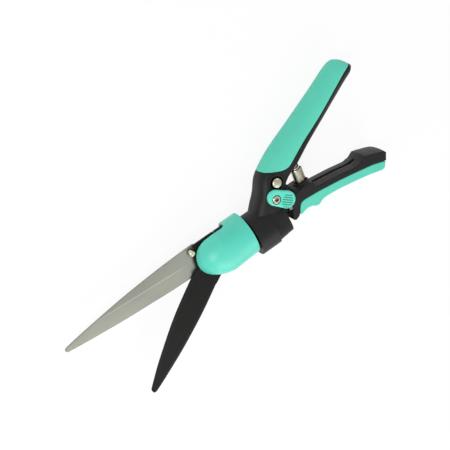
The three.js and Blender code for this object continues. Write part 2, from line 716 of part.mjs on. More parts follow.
function pullRod() {
  const shaft = turnedAlong(
    [[rodHeadFront, 0], [rodHeadFront, rodHeadRadius], [rodHeadFront - rodHeadLength, rodHeadRadius],
      [rodHeadFront - rodHeadLength, rodRadius], [rodPinAt.x + 4, rodRadius], [rodPinAt.x + 4, 0]],
    28,
  );
  const eye = plate(
    slotShape(new THREE.Vector2(rodPinAt.x + 3, 0), new THREE.Vector2(rodPinAt.x, 0), 4.6),
    -rodEyeHalfThickness, rodEyeHalfThickness, 0.5, 1,
  );
  const wear = clearance + 0.1;
  const slot = slotShape(
    new THREE.Vector2(rodPinAt.x, rodPinAt.y + wear),
    new THREE.Vector2(rodPinAt.x, rodPinClosed.y - wear),
    rodPinRadius + clearance,
  );
  return cut(union(shaft, eye), plate(slot, -rodEyeHalfThickness - 1, rodEyeHalfThickness + 1));
}

function rodPin() {
  const half = leverHalfWidth - 1.2;
  return turnedUp(
    [[-half, 0], [-half, rodPinRadius - 0.4], [-half + 0.4, rodPinRadius], [half - 0.4, rodPinRadius],
      [half, rodPinRadius - 0.4], [half, 0]],
    rodPinAt.x, rodPinAt.y, 24,
  );
}

// ---------------------------------------------------------------- housing and upper grip
const gripOuter = [[-49.5, -11.6], [-54.8, -17.8], [-62, -25.8], [-71.4, -39.7], [-91.2, -53.2],
  [-119.9, -65.4], [-150.1, -78.2], [-175.4, -89.4], [-185.2, -87.4], [-191.2, -80.8]];
const gripInner = [[-75.6, 6], [-78.5, -5], [-85.1, -18.1], [-93.5, -24.6], [-110.7, -29.6], [-127.4, -39.4],
  [-152.7, -53], [-178, -66.3], [-187.6, -71.4], [-192.6, -76.2]];
const gripEndsAt = 0.86; // share of the rails at which the grip starts to close
const gripWidthAt = (t) => mix(neckHalfWidth, gripHalfWidth, smooth(t, 0.2, 0.5))
  * (1 - 0.14 * smooth(t, 0.6, 0.9)) * (1 - 0.42 * smooth(t, gripEndsAt, 1) ** 2);
const gripPower = (t) => mix(3.4, 2.5, smooth(t, 0.2, 0.5));

// The line between the black core and the mint grip, from the grip's end to the neck's outer face.
const gripParting = [[-204, -78], [-192, -80.6], [-186, -80], [-173.5, -73.9], [-146.5, -59],
  [-119.8, -46], [-104, -37.2], [-97, -33.9], [-90.5, -34.6], [-83.4, -37.2], [-73.4, -41.8], [-60, -49.5]];

// Everything on the grip's outer side of the parting line, moved back by a gap.
function gripRegion(gap) {
  const line = new THREE.SplineCurve(gripParting.map(([x, y]) => new THREE.Vector2(x, y - gap)));
  const shape = new THREE.Shape(line.getPoints(44));
  shape.lineTo(-60, -110);
  shape.lineTo(-204, -110);
  return plate(shape, -30, 30);
}

// The core's tongue inside the mint grip, or with a clearance its pocket.
function gripTongue(grow) {
  const share = 0.2 - grow * 0.035;
  const drawnIn = (points, other) =>
    points.map((point, i) => point.map((value, axis) => mix(value, other[i][axis], share)));
  return railBody({
    outer: drawnIn(gripOuter, gripInner),
    inner: drawnIn(gripInner, gripOuter),
    halfWidth: (t) => gripWidthAt(t) * 0.6 + grow,
    power: () => 3,
    stations: 10,
    around: 12,
    from: 0.32 - grow * 0.01,
    to: 0.84 + grow * 0.01,
  });
}

function gripEnvelope() {
  return railBody({
    outer: gripOuter, inner: gripInner, halfWidth: gripWidthAt, power: gripPower, stations: 26, around: 24,
  });
}

// The collar's body: round where it meets the skirt, nearly square at its rear face.
function collarBody() {
  const top = [[skirtFront - 8, skirtOffset - skirtRadius + skirtStep], [-62, -12.2], [housingRear, -9]];
  const bottom = [[skirtFront - 8, skirtOffset + skirtRadius - skirtStep], [-62, 23], [housingRear, 21.2]];
  return railBody({
    outer: top,
    inner: bottom,
    halfWidth: (t) => mix(skirtRadius - skirtStep, neckHalfWidth, smooth(t, 0.1, 1)),
    power: (t) => mix(2, 3.6, t),
    stations: 7,
    around: 36,
  });
}

function skirt() {
  return turnedAlong(
    [[skirtRear, 0], [skirtRear, skirtRadius - 0.4], [skirtRear + 0.4, skirtRadius],
      [skirtFront - 0.6, skirtRadius], [skirtFront, skirtRadius - 0.6], [skirtFront, 0]],
    44, skirtOffset,
  );
}

// The slot in the housing that the lever's web swings in, open to the rear.
function webSlot() {
  const shape = new THREE.Shape();
  shape.absarc(leverPivot.x, leverPivot.y, 9.3, 0, Math.PI, true);
  shape.lineTo(-92.4, -27.5);
  shape.lineTo(-92.4, -23);
  shape.lineTo(-110, -14);
  shape.lineTo(-110, 9);
  shape.lineTo(housingRear + 1.6, 9);
  shape.lineTo(housingRear + 2.4, -4);
  shape.lineTo(-73.6, -14);
  return plate(shape, -webSlotHalf, webSlotHalf);
}

function housing() {
  const core = union(
    cut(gripEnvelope(), gripRegion(seatGap - clearance)),
    gripTongue(0),
    collarBody(),
    skirt(),
    post(leverPivot.x, leverPivot.y, counterboreRadius + 1.5, -14.8, 14.8, 32),
    turnedSpringSeat(),
  );
  const sleeveRoom = bar(30, skirtFront, 0);
  const detentPocketEnd = detentBallY + detentBallRadius + detentSpringLength + 1.2;
  const detentPocket = solid(new THREE.CylinderGeometry(
    detentBallRadius + clearance, detentBallRadius + clearance, detentPocketEnd, 20,
  ).translate(detentX, detentPocketEnd / 2, 0));
  const lugRoom = box([-95, -10, webSlotHalf - 1], [-77.1, 0, lugTop + clearance]);
  return cut(
    core,
    sleeveRoom,
    bar(swivelNeckRadius + clearance, retainerFrontFace + clearance, skirtFront + 1, 36),
    bar(retainerRadius + clearance + 0.2, swivelNeckRear - 1, retainerFrontFace + clearance, 36),
    bar(rodRadius + 0.6, -90, swivelNeckRear + 1),
    detentPocket,
    webSlot(),
    post(leverPivot.x, leverPivot.y, counterboreRadius, counterboreFloor, 30, 32),
    post(leverPivot.x, leverPivot.y, counterboreRadius, -30, -counterboreFloor, 32),
    post(leverPivot.x, leverPivot.y, leverRivetRadius + clearance, -20, 20),
    post(latchPivot.x, latchPivot.y, latchFrontRadius + latchFront.length() + clearance, latchSeat, 30, 32),
    post(latchPivot.x, latchPivot.y, latchScrewRadius + seatGap, 2, 20),
    lugRoom,
  );
}

const latchSeat = latchBottom - 0.8;

function upperGrip() {
  return cut(gripEnvelope().intersect(gripRegion(seatGap)), gripTongue(clearance));
}

// ---------------------------------------------------------------- spring and its seats
const springAxis = springFoot.clone().sub(springTop);
const springLength = springAxis.length();
const springDirection = springAxis.clone().normalize();

// A solid turned about the spring's axis, from [distance from the top seat, radius] pairs.
function turnedOnSpring(profile, sides = 28) {
  const points = profile.map(([along, radius]) => new THREE.Vector2(radius, along));
  const geometry = new THREE.LatheGeometry(points, sides);
  geometry.rotateZ(springDirection.angle() - Math.PI / 2);
  return solid(geometry.translate(springTop.x, springTop.y, 0));
}

// A round boss under the grip whose pin centres the spring's upper coil.
function turnedSpringSeat() {
  return turnedOnSpring([[-8, 0], [-8, 4], [0, 3.7], [0, 1.6], [1.6, 1.6], [2, 1.2], [2, 0]], 20);
}

// One flat strip wound into a volute: the inner turns stand out towards the grip, and each turn lies
// inside the next, so that they telescope when the lever is squeezed.
function voluteSpring() {
  const perTurn = 18;
  const count = Math.round(springTurns * perTurn);
  const width = (t) => mix(springEndWidth, springWidth, smooth(t, 0, 0.6));
  const radius = (t) => mix(springInnerRadius, springOuterRadius, t) - springStrip / 2;
  const room = springLength + springSocketDepth - 0.8;
  const frames = [];
  const axis = new THREE.Vector3(springDirection.x, springDirection.y, 0);
  const side = new THREE.Vector3(-springDirection.y, springDirection.x, 0);
  for (let i = 0; i <= count; i++) {
    const t = i / count;
    const angle = 2 * Math.PI * springTurns * t;
    const out = side.clone().multiplyScalar(Math.cos(angle)).add(new THREE.Vector3(0, 0, Math.sin(angle)));
    const middle = mix(0.4 + width(0) / 2, room - width(1) / 2, t);
    const at = new THREE.Vector3(springTop.x, springTop.y, 0).addScaledVector(axis, middle);
    frames.push({ at: at.addScaledVector(out, radius(t)), along: axis, out, half: width(t) / 2 });
  }
  console.log(`spring: least gap between turns ${springGap(frames, perTurn).toFixed(2)} mm`);
  return sweptStrip(frames, (i) => frames[i].half, springStrip / 2);
}

// The least distance between the strip's own turns, taken on points of its cross-section.
function springGap(frames, perTurn) {
  const corners = frames.map(({ at, along, out, half }) => [-1, -0.5, 0, 0.5, 1].flatMap((u) =>
    [-1, 1].map((v) =>
      at.clone().addScaledVector(along, u * half).addScaledVector(out, (v * springStrip) / 2))));
  let least = Infinity;
  for (let i = 0; i < corners.length; i++) {
    for (let j = i + Math.round(perTurn * 0.6); j < corners.length; j++) {
      for (const a of corners[i]) {
        for (const b of corners[j]) {
          least = Math.min(least, a.distanceTo(b));
        }
      }
    }
  }
  return least;
}

// ---------------------------------------------------------------- lever
const leverTop = [[-91, -9.2], [-109, -9.2], [-110.6, -8.4], [-111.4, -3], [-118, -2], [-137, 0.6],
  [-153, 3.6], [-157.5, 3.8], [-161.6, 2.4], [-165.4, 0.6], [-171, 0.8], [-178, 3], [-184.6, 6.6],
  [-186.4, 9.4], [-183, 16.2]];
const leverParting = [[-181, 15.3], [-170, 11.6], [-159.3, 9.5], [-148.7, 7.5], [-133.4, 4.8], [-122.1, 3.3],
  [-111.9, 1.9], [-101.5, 1], [-95.7, 0.6], [-92.3, 1.6], [-89.8, 4.6], [-87, 10]];
const leverToe = [[-85.3, 11.6], [-81.6, 13], [-79.8, 12.2], [-79.9, 10.6], [-83, 2], [-86.4, -3.6]];
const leverUnderside = [[-88.6, 11.6], [-92.6, 10.4], [-96.8, 10], [-100.7, 10.9], [-104.3, 13.2],
  [-107.2, 13.8], [-110.2, 12.2], [-114.1, 11], [-121.3, 11.3], [-132.2, 12.6], [-153.5, 16.5],
  [-164.1, 18.8], [-175.6, 22], [-179.2, 21.6], [-182.4, 16.4]];

function leverFrame() {
  const frameShape = outline([...leverTop, ...leverParting, ...leverToe]);
  const wide = plate(frameShape, -leverHalfWidth, leverHalfWidth, 0.7, 2);
  const web = new THREE.Shape();
  web.absarc(leverPivot.x, leverPivot.y, 8.6, 0, Math.PI, true);
  web.lineTo(-89.6, -19);
  web.lineTo(-94, -8);
  web.lineTo(-94, 0);
  web.lineTo(-86, 4.5);
  web.lineTo(-79, 4.5);
  web.lineTo(-77.2, -1);
  web.lineTo(-74.8, -13);
  const fork = slotShape(rodPinAt, new THREE.Vector2(rodPinAt.x + 14, rodPinAt.y - 1), 7.4);
  const grooveDepth = plate(
    outline([[-100, -3], [-111, leverGrooveDepth - 3.4], [-133, 3.2], [-154, 6.6], [-158.5, 5.6],
      [-158.5, -6], [-112.5, -9]]),
    -leverGrooveWidth / 2, leverGrooveWidth / 2,
  );
  const grooveEnd = solid(new THREE.CylinderGeometry(leverGrooveWidth / 2, leverGrooveWidth / 2, 12, 24)
    .translate(-158.5, 0.4, 0));
  const socket = turnedOnSpring([
    [springLength - 6, 0], [springLength - 6, springSocketRadius],
    [springLength + springSocketDepth, springSocketRadius - 0.6], [springLength + springSocketDepth, 0],
  ]);
  return cut(
    union(wide, plate(web, -webHalfThickness, webHalfThickness), latchLug(), studShape(0)),
    plate(fork, -leverForkHalf, leverForkHalf),
    post(leverPivot.x, leverPivot.y, leverRivetRadius + clearance, -20, 20),
    post(rodPinAt.x, rodPinAt.y, rodPinRadius + seatGap, -leverHalfWidth - 1, leverHalfWidth + 1, 24),
    grooveDepth,
    grooveEnd,
    socket,
  );
}

// The peg's place about the latch's screw at rest, and after the latch is turned to lock.
const latchHeading = latchLobe.angle();
const pegOpen = latchPivot.clone().add(
  new THREE.Vector2(latchPegReach, 0).rotateAround(new THREE.Vector2(), latchHeading + 0.06),
);
const pegLocked = pegOpen.clone().rotateAround(latchPivot, latchTurn);

// A stud on the lever's web: it passes the peg's locked place as the lever shuts, so that the peg then
// swings in behind it and holds the lever shut.
function latchLug() {
  const peg = pegLocked.clone().sub(leverPivot);
  const passed = Math.asin((lugRadius + latchPegRadius + clearance) / peg.length());
  const reach = new THREE.Vector2(peg.length() + lugRadius, 0);
  const rest = reach.rotateAround(new THREE.Vector2(), peg.angle() + passed + lugLead - leverSqueeze);
  return post(leverPivot.x + rest.x, leverPivot.y + rest.y, lugRadius, webHalfThickness - 1, lugTop, 16);
}

function leverGrip() {
  const raise = 5;
  const upper = leverParting.slice(0, 11).map(([x, y]) => [x, y - raise]);
  const shape = outline([...upper, [-88, 6], ...leverUnderside]);
  const pad = plate(shape, -leverHalfWidth, leverHalfWidth, 2.4, 3);
  const above = leverParting.map(([x, y]) => [x, y + seatGap * 2]);
  const region = outline([[-200, 19.6], ...above, [-85, 14], [-60, 14], [-60, -40], [-200, -40]]);
  const stud = studShape(clearance);
  return cut(pad, plate(region, -30, 30), stud);
}

// A key of the frame sits in a pocket of the mint grip.
function studShape(grow) {
  return box([-150 - grow, 0, -5 - grow], [-112 + grow, 9.2 + grow, 5 + grow]);
}

function thrustWasher(side) {
  const near = webHalfThickness + seatGap;
  const far = near + thrustWasherThickness;
  const [bottom, top] = side > 0 ? [near, far] : [-far, -near];
  return cut(
    post(leverPivot.x, leverPivot.y, 7, bottom, top, 32),
    post(leverPivot.x, leverPivot.y, leverRivetRadius + clearance, bottom - 1, top + 1),
  );
}

function leverRivet() {
  const headBottom = counterboreFloor + seatGap;
  return turnedUp(
    [[-leverRivetTop + 1.6, 0], [-leverRivetTop + 1.6, leverRivetHeadRadius - 0.7],
      [-leverRivetTop + 2.3, leverRivetHeadRadius], [-headBottom, leverRivetHeadRadius],
      [-headBottom, leverRivetRadius], [headBottom, leverRivetRadius], [headBottom, leverRivetHeadRadius],
      [leverRivetTop - 0.7, leverRivetHeadRadius], [leverRivetTop, leverRivetHeadRadius - 0.7],
      [leverRivetTop, 0]],
    leverPivot.x, leverPivot.y, 30,
  );
}

// ---------------------------------------------------------------- latch
const latchTop = latchBottom + latchThickness;

function latch() {
  const [front, thumb] = [latchFront, latchLobe].map((offset) => latchPivot.clone().add(offset));
  const body = plate(
    slotShape(front, thumb, latchFrontRadius, latchThumbRadius), latchBottom, latchTop, 0.8, 2,
  );
  const boss = post(latchPivot.x, latchPivot.y, 5, latchSeat + 0.65, latchBottom + 1, 32);
  const peg = post(pegOpen.x, pegOpen.y, latchPegRadius, latchPegBottom, latchBottom + 1, 20);
  const grooves = [];
  const middle = latchLobe.length() - 0.3;
  for (let i = 0; i < latchGrooves; i++) {
    const row = i - (latchGrooves - 1) / 2;
    const groove = new THREE.CylinderGeometry(0.6, 0.6, 9 - 0.75 * row * row, 10);
    groove.rotateZ(Math.PI / 2).translate(middle, row * latchGrooveSpacing, latchTop + 0.12);
    grooves.push(solid(groove.rotateZ(latchHeading).translate(latchPivot.x, latchPivot.y, 0)));
  }
  return cut(
    union(body, boss, peg),
    post(latchPivot.x, latchPivot.y, latchScrewHeadRadius + 0.6, latchBottom + 0.9, latchTop + 1, 36),
    post(latchPivot.x, latchPivot.y, latchScrewRadius + clearance, latchSeat - 1, latchTop + 1),
    ...grooves,
  );
}

function latchWasher() {
  return cut(
    post(latchPivot.x, latchPivot.y, 5.4, latchSeat + 0.1, latchSeat + 0.55, 32),
    post(latchPivot.x, latchPivot.y, latchScrewRadius + clearance, latchSeat - 1, latchSeat + 2),
  );
}

function latchScrew() {
  const headBottom = latchBottom + 0.9 + seatGap;
  const headTop = latchTop + 0.1;
  const body = turnedUp(
    [[3, 0], [3, latchScrewRadius - 0.5], [3.5, latchScrewRadius], [headBottom, latchScrewRadius],
      [headBottom, latchScrewHeadRadius], [headTop - 0.6, latchScrewHeadRadius],
      [headTop, latchScrewHeadRadius - 0.6], [headTop, 0]],
    latchPivot.x, latchPivot.y, 32,
  );
  return cut(body, post(latchPivot.x, latchPivot.y, 1.9, headTop - 1.5, headTop + 1, 6));
}

// ---------------------------------------------------------------- the assembly
const tool = new THREE.Group();
tool.add(
  meshOf("housing", housing(), black),
  meshOf("upper_grip", upperGrip(), mint),
  meshOf("lever_rivet", leverRivet(), chrome),
  meshOf("thrust_washer_near", thrustWasher(1), steel),
  meshOf("thrust_washer_far", thrustWasher(-1), steel),
  meshOf("lever_frame", leverFrame(), black),
  meshOf("lever_grip", leverGrip(), mint),
  meshOf("rod_pin", rodPin(), steel),
  meshOf("pull_rod", pullRod(), steel),
  meshOf("rod_yoke", yoke(), steel),
  meshOf("volute_spring", voluteSpring(), chrome),
  meshOf("latch", latch(), mint),
  meshOf("latch_washer", latchWasher(), steel),
  meshOf("latch_screw", latchScrew(), chrome),
  meshOf("detent_ball", detentBall(), chrome),
  meshOf("detent_spring", detentSpring(), steel),
  meshOf("retainer_ring", retainerRing(), steel),
  meshOf("head_base", headBase(), black),
  meshOf("head_cover", headCover(), mint),
  meshOf("cover_screw_front", coverScrew(coverScrewPlaces[0]), steel),
  meshOf("cover_screw_rear", coverScrew(coverScrewPlaces[1]), steel),
  meshOf("fixed_blade", fixedBlade(), brushed),
  meshOf("blade_rivet_left", bladeRivet(-1), steel),
  meshOf("blade_rivet_right", bladeRivet(1), steel),
  meshOf("open_stop_pin", stopPin(), chrome),
  meshOf("moving_blade", movingBlade(), coated),
  meshOf("crank_pin", crankPin(), steel),
  meshOf("pivot_bolt", pivotBolt(), chrome),
  meshOf("pivot_washer", pivotWasher(), steel),
  meshOf("spring_washer", springWasher(), steel),
  meshOf("pivot_nut", hexNut(), steel),
);

// The origin lies under the middle of the tool's bounding box.
const extent = new THREE.Box3().setFromObject(tool);
const centre = extent.getCenter(new THREE.Vector3());
tool.position.set(-centre.x, -centre.y, -extent.min.z);

export default tool;
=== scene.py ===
import json

import bmesh
import bpy
import numpy as np
from mathutils import Matrix, Vector


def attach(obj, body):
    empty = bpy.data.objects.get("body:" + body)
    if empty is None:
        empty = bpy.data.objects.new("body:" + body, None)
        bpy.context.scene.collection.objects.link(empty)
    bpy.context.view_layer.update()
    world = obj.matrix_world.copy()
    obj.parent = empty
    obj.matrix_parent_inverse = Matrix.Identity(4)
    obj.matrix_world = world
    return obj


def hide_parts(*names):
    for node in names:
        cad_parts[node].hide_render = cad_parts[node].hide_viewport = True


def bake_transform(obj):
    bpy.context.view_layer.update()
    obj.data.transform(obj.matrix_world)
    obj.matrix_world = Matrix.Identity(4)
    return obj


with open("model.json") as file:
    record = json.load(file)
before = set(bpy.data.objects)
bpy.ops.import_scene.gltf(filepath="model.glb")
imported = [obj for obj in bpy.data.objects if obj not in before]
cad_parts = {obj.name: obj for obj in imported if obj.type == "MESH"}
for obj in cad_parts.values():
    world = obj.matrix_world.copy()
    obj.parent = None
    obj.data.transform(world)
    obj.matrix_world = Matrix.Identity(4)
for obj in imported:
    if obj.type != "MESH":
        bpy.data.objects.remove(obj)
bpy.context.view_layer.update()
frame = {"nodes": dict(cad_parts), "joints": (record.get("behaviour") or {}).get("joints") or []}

# Lengths are millimetres in a working frame whose X axis is the swivel axis. The blade pivot stands
# at x = -5.5 in it, and home is where its origin lies in the frame that was loaded.
joints = {joint["name"]: joint for joint in frame["joints"]}
pivotX = -5.5
home = np.array(joints["blade_swing"]["pos_m"]) * 1000 - np.array([pivotX, 0, 0])


def inFrame(points):
    return (np.asarray(points, float) + home) / 1000


# Curves, grids and closed bodies that the pieces further down are made from.

# A soft step: with u the share of the way from start to end, 3 u squared less 2 u cubed.
def smoothStep(t, start, end):
    u = np.clip((t - start) / (end - start), 0, 1)
    return u * u * (3 - 2 * u)


# Soft steps from 0 to 1 over rises and back to 0 over falls.
def swell(t, rises, falls):
    return smoothStep(t, *rises) * (1 - smoothStep(t, *falls))


# The value a share t of the way from a to b.
def blendOf(a, b, t):
    return a + (b - a) * t


# The size of a value raised to a power, with its sign kept.
def signedPower(value, power):
    return np.sign(value) * np.abs(value) ** power


def fullTurn(count):
    return np.linspace(0, 2 * np.pi, count, endpoint=False)


def towards(angle):
    return np.array([np.cos(angle), np.sin(angle)])


# The length and the angle of a vector in the plane.
def polar(vector):
    return float(np.hypot(*vector)), float(np.arctan2(vector[1], vector[0]))


# A smooth curve through the points, count samples: each stretch is the cubic whose end slopes are
# half the step between the neighbours.
def curveThrough(points, count):
    points = np.asarray(points, float)
    last = len(points) - 1
    p = np.linspace(0, last, count)
    i = np.minimum(p.astype(int), last - 1)
    w = (p - i)[:, None]
    before, after = points[np.maximum(i - 1, 0)], points[np.minimum(i + 2, last)]
    start, end = points[i], points[i + 1]
    v0, v1 = (end - before) / 2, (after - start) / 2
    return ((2 * start - 2 * end + v0 + v1) * w**3 + (-3 * start + 3 * end - 2 * v0 - v1) * w**2
            + v0 * w + start)


# Quads of a grid of rows by columns, each row closed on itself where around is true.
def gridFaces(rows, columns, around=True):
    span = columns if around else columns - 1
    i, j = np.meshgrid(np.arange(rows - 1), np.arange(span), indexing="ij")
    k = (j + 1) % columns
    near, far = i * columns, (i + 1) * columns
    return np.stack([near + j, near + k, far + k, far + j], -1).reshape(-1, 4)


# A mesh object from points of the working frame, with its place in its mesh.
def newObject(name, vertices, faces):
    mesh = bpy.data.meshes.new(name)
    mesh.from_pydata(inFrame(vertices).tolist(), [], faces)
    mesh.update()
    piece = bpy.data.objects.new(name, mesh)
    bpy.context.scene.collection.objects.link(piece)
    return piece


# Doubled points are merged, and every face is turned outwards.
def outwards(piece):
    work = bmesh.new()
    work.from_mesh(piece.data)
    bmesh.ops.remove_doubles(work, verts=work.verts, dist=1e-6)  # metres
    bmesh.ops.recalc_face_normals(work, faces=work.faces)
    work.to_mesh(piece.data)
    work.free()
    return piece


# A closed body through rings of points, an array of rings x points x 3, with a cap on each end.
def ringBody(name, rings):
    rows, columns = rings.shape[:2]
    faces = gridFaces(rows, columns).tolist()
    faces.append(list(range(columns)))
    faces.append(list(range((rows - 1) * columns, rows * columns)))
    return outwards(newObject(name, rings.reshape(-1, 3), faces))


# A profile of [height, radius] pairs turned about an axis through at: the point at angle a is
# at + axis * height + radius * (u cos a + v sin a).
def turned(name, profile, at, axis, count=96):
    axis = Vector(axis).normalized()
    u = axis.orthogonal().normalized()
    v = axis.cross(u)
    a = fullTurn(count)
    profile = np.asarray(profile, float)
    radius = np.maximum(profile[:, 1], 1e-4)  # points on the axis close once they are merged
    ring = np.cos(a)[:, None] * np.array(u) + np.sin(a)[:, None] * np.array(v)
    rings = (np.asarray(at, float) + profile[:, :1, None] * np.array(axis)
             + radius[:, None, None] * ring)
    return ringBody(name, rings)


# A profile of [x, radius] pairs turned about the line through y along the swivel axis.
def alongX(name, profile, y=0, count=128):
    return turned(name, profile, (0, y, 0), (1, 0, 0), count)


# The profile of a plain round bar.
def bar(start, end, radius):
    return [[start, 0], [start, radius], [end, radius], [end, 0]]


# An upright round bar: one radius about the point at, from bottom to top.
def post(name, at, radius, bottom, top, count=64):
    return turned(name, bar(bottom, top, radius), (at[0], at[1], 0), (0, 0, 1), count)


# An outline in the XY plane raised from bottom to top.
def plate(name, outline, bottom, top):
    return ringBody(name, stacked([(outline, bottom), (outline, top)]))


# A box from its lowest to its highest corner.
def block(name, low, high):
    corners = [[low[0], low[1]], [high[0], low[1]], [high[0], high[1]], [low[0], high[1]]]
    return plate(name, corners, low[2], high[2])


# An outline moved inwards: each point goes along the mean of its two edges' normals, by inset over
# the cosine of half the turn there, which counts as a half or more.
def drawnIn(outline, inset):
    following = np.roll(outline, -1, 0)
    ahead = following - outline
    ahead /= np.linalg.norm(ahead, axis=1, keepdims=True)
    normal = np.column_stack([-ahead[:, 1], ahead[:, 0]])
    mean = normal + np.roll(normal, 1, 0)
    mean /= np.linalg.norm(mean, axis=1, keepdims=True)
    turn = np.maximum(np.sum(mean * normal, 1), 0.5)[:, None]
    area = np.sum(outline[:, 0] * following[:, 1] - outline[:, 1] * following[:, 0])
    return outline + np.sign(area) * mean * inset / turn


# Closed outlines stacked at their heights, from [outline, height] pairs.
def stacked(levels):
    return np.stack([np.column_stack([line, np.full(len(line), z)]) for line, z in levels])


# A plate with its outline drawn in at both faces, by a chamfer that is as deep as it is wide.
def chamferedPlate(name, outline, bottom, top, chamfer):
    outline = np.asarray(outline, float)
    inner = drawnIn(outline, chamfer)
    return ringBody(name, stacked([(inner, bottom), (outline, bottom + chamfer), (outline, top - chamfer),
                                   (inner, top)]))


# Points of a quadratic curve from start to end, drawn towards control, without its first point.
def bend(start, control, end, count=12):
    t = np.linspace(0, 1, count + 1)[1:, None]
    return (1 - t) ** 2 * np.array(start) + 2 * t * (1 - t) * np.array(control) + t**2 * np.array(end)


# Points on a circle, from the angle start to the angle end.
def arcPoints(centre, radius, start, end, count=40):
    a = np.linspace(start, end, count)
    return np.column_stack([centre[0] + radius * np.cos(a), centre[1] + radius * np.sin(a)])


# The piece with the mesh that its modifiers give it.
def settled(piece):
    graph = bpy.context.evaluated_depsgraph_get()
    mesh = bpy.data.meshes.new_from_object(piece.evaluated_get(graph))
    piece.modifiers.clear()
    old, piece.data = piece.data, mesh
    bpy.data.meshes.remove(old)
    return piece


# The tools join, cut or meet the piece and are gone after it.
def combine(piece, tools, operation):
    for tool in tools:
        join = piece.modifiers.new("join", "BOOLEAN")
        join.operation, join.solver, join.object = operation, "MANIFOLD", tool
    settled(piece)
    for tool in tools:
        bpy.data.objects.remove(tool)
    return piece


def union(piece, *tools):
    return combine(piece, tools, "UNION")


def cut(piece, *tools):
    return combine(piece, tools, "DIFFERENCE")


# A moulding: the sharp solid turned into a fine even skin, whose corners the smoothing rounds.
def moulded(piece, cell, passes):
    skin = piece.modifiers.new("skin", "REMESH")
    skin.mode, skin.voxel_size, skin.use_smooth_shade = "VOXEL", cell / 1000, True
    soften = piece.modifiers.new("soften", "SMOOTH")
    soften.factor, soften.iterations = 0.5, passes
    settled(piece)
    piece.data.shade_smooth()
    return piece


# Smooth shading that stays sharp along edges that turn by more than the angle.
def creased(piece, degrees):
    piece.data.shade_smooth()
    piece.data.set_sharp_from_angle(angle=np.radians(degrees))
    return piece


# One material and the nodes that the piece replaces; the slot argument is not used.
def dressed(piece, material, slot, *nodes):
    piece.data.materials.clear()
    piece.data.materials.append(material)
    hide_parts(*nodes)
    return piece


# The same on a piece that rides on one body.
def finished(piece, material, body, slot, *nodes):
    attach(dressed(piece, material, slot, *nodes), body)
    return piece


# Materials. A Wire is a socket that can be reckoned with: an expression on it adds its Math nodes.
class Wire:
    def __init__(self, tree, socket=None):
        self.tree, self.socket = tree, socket

    def node(self, kind, settings=None, sockets=None, output=0):
        made = self.tree.nodes.new("ShaderNode" + kind)
        for key, value in (settings or {}).items():
            setattr(made, key, value)
        for key, value in (sockets or {}).items():
            if isinstance(value, Wire):
                self.tree.links.new(value.socket, made.inputs[key])
            else:
                made.inputs[key].default_value = value
        return Wire(self.tree, made.outputs[output])

    def reckon(self, operation, *values):
        return self.node("Math", {"operation": operation}, dict(enumerate(values)))

    def __add__(self, other):
        return self.reckon("ADD", self, other)

    def __radd__(self, other):
        return self.reckon("ADD", other, self)

    def __sub__(self, other):
        return self.reckon("SUBTRACT", self, other)

    def __rsub__(self, other):
        return self.reckon("SUBTRACT", other, self)

    def __mul__(self, other):
        return self.reckon("MULTIPLY", self, other)

    def __rmul__(self, other):
        return self.reckon("MULTIPLY", other, self)

    def power(self, other):
        return self.reckon("POWER", self, other)


# A colour as it is seen on a display, 0 to 255 a channel, made linear by the display's own curve.
def paint(red, green, blue):
    channels = np.array([red, green, blue]) / 255
    linear = np.where(channels <= 0.04045, channels / 12.92, ((channels + 0.055) / 1.055) ** 2.4)
    return (*linear.tolist(), 1)


# A material and its wire: fixed values go on the shader's own sockets, and what varies comes as links.
def newMaterial(name, fixed):
    material = bpy.data.materials.new(name)
    material.use_nodes = True
    tree = material.node_tree
    shader = tree.nodes["Principled BSDF"]
    for key, value in fixed.items():
        shader.inputs[key].default_value = value
    return material, Wire(tree), shader


def feed(wire, shader, **links):
    names = {"colour": "Base Color", "roughness": "Roughness", "normal": "Normal"}
    for key, value in links.items():
        wire.tree.links.new(value.socket, shader.inputs[names[key]])


# Object coordinates, stretched along the axes by scale.
def objectPlace(wire, scale=(1, 1, 1)):
    return wire.node("Mapping", {}, {"Vector": wire.node("TexCoord", output="Object"), "Scale": scale})


def noise(wire, place, scale, detail=2, roughness=0.5):
    return wire.node("TexNoise", {}, {
        "Vector": place, "Scale": scale, "Detail": detail, "Roughness": roughness})


# A Mix node's sockets for colours go by their numbers, because its other kinds share the names.
def mixed(wire, amount, first, second):
    factor, colourA, colourB, result = 0, 6, 7, 2
    return wire.node("Mix", {"data_type": "RGBA", "clamp_factor": True},
                     {factor: amount, colourA: first, colourB: second}, result)


def bump(wire, strength, depth, height):
    return wire.node("Bump", {}, {"Strength": strength, "Distance": depth, "Height": height})


# A wander of a roughness about its mean, from a pattern that runs from 0 to 1.
def wander(pattern, amount):
    return (pattern - 0.5) * amount


# How far the painted shade in hollows reaches.
hollowShadeReach = 0.003  # metres


# How open the surface is within the reach, from 0 in a tight corner to 1 on an open face: the mask by which
# the materials paint shade into corners and hollows.
def openness(wire):
    return wire.node("AmbientOcclusion", {"samples": 8}, {"Distance": hollowShadeReach}, "AO")


# The colour of painted shade: a colour with its channels scaled down by a share.
def shaded(colour, share):
    return (*(share * channel for channel in colour[:3]), 1)


# Shared plastic values; hollowShade is how dark the painted shade in hollows gets.
anyPlastic = {"coatRoughness": 0.25, "drift": 35, "driftWander": 0.08, "grainWander": 0.16,
              "grainDetail": 3, "grainRoughness": 0.6, "grainDepth": 0.0001, "hollowShade": 0.25}
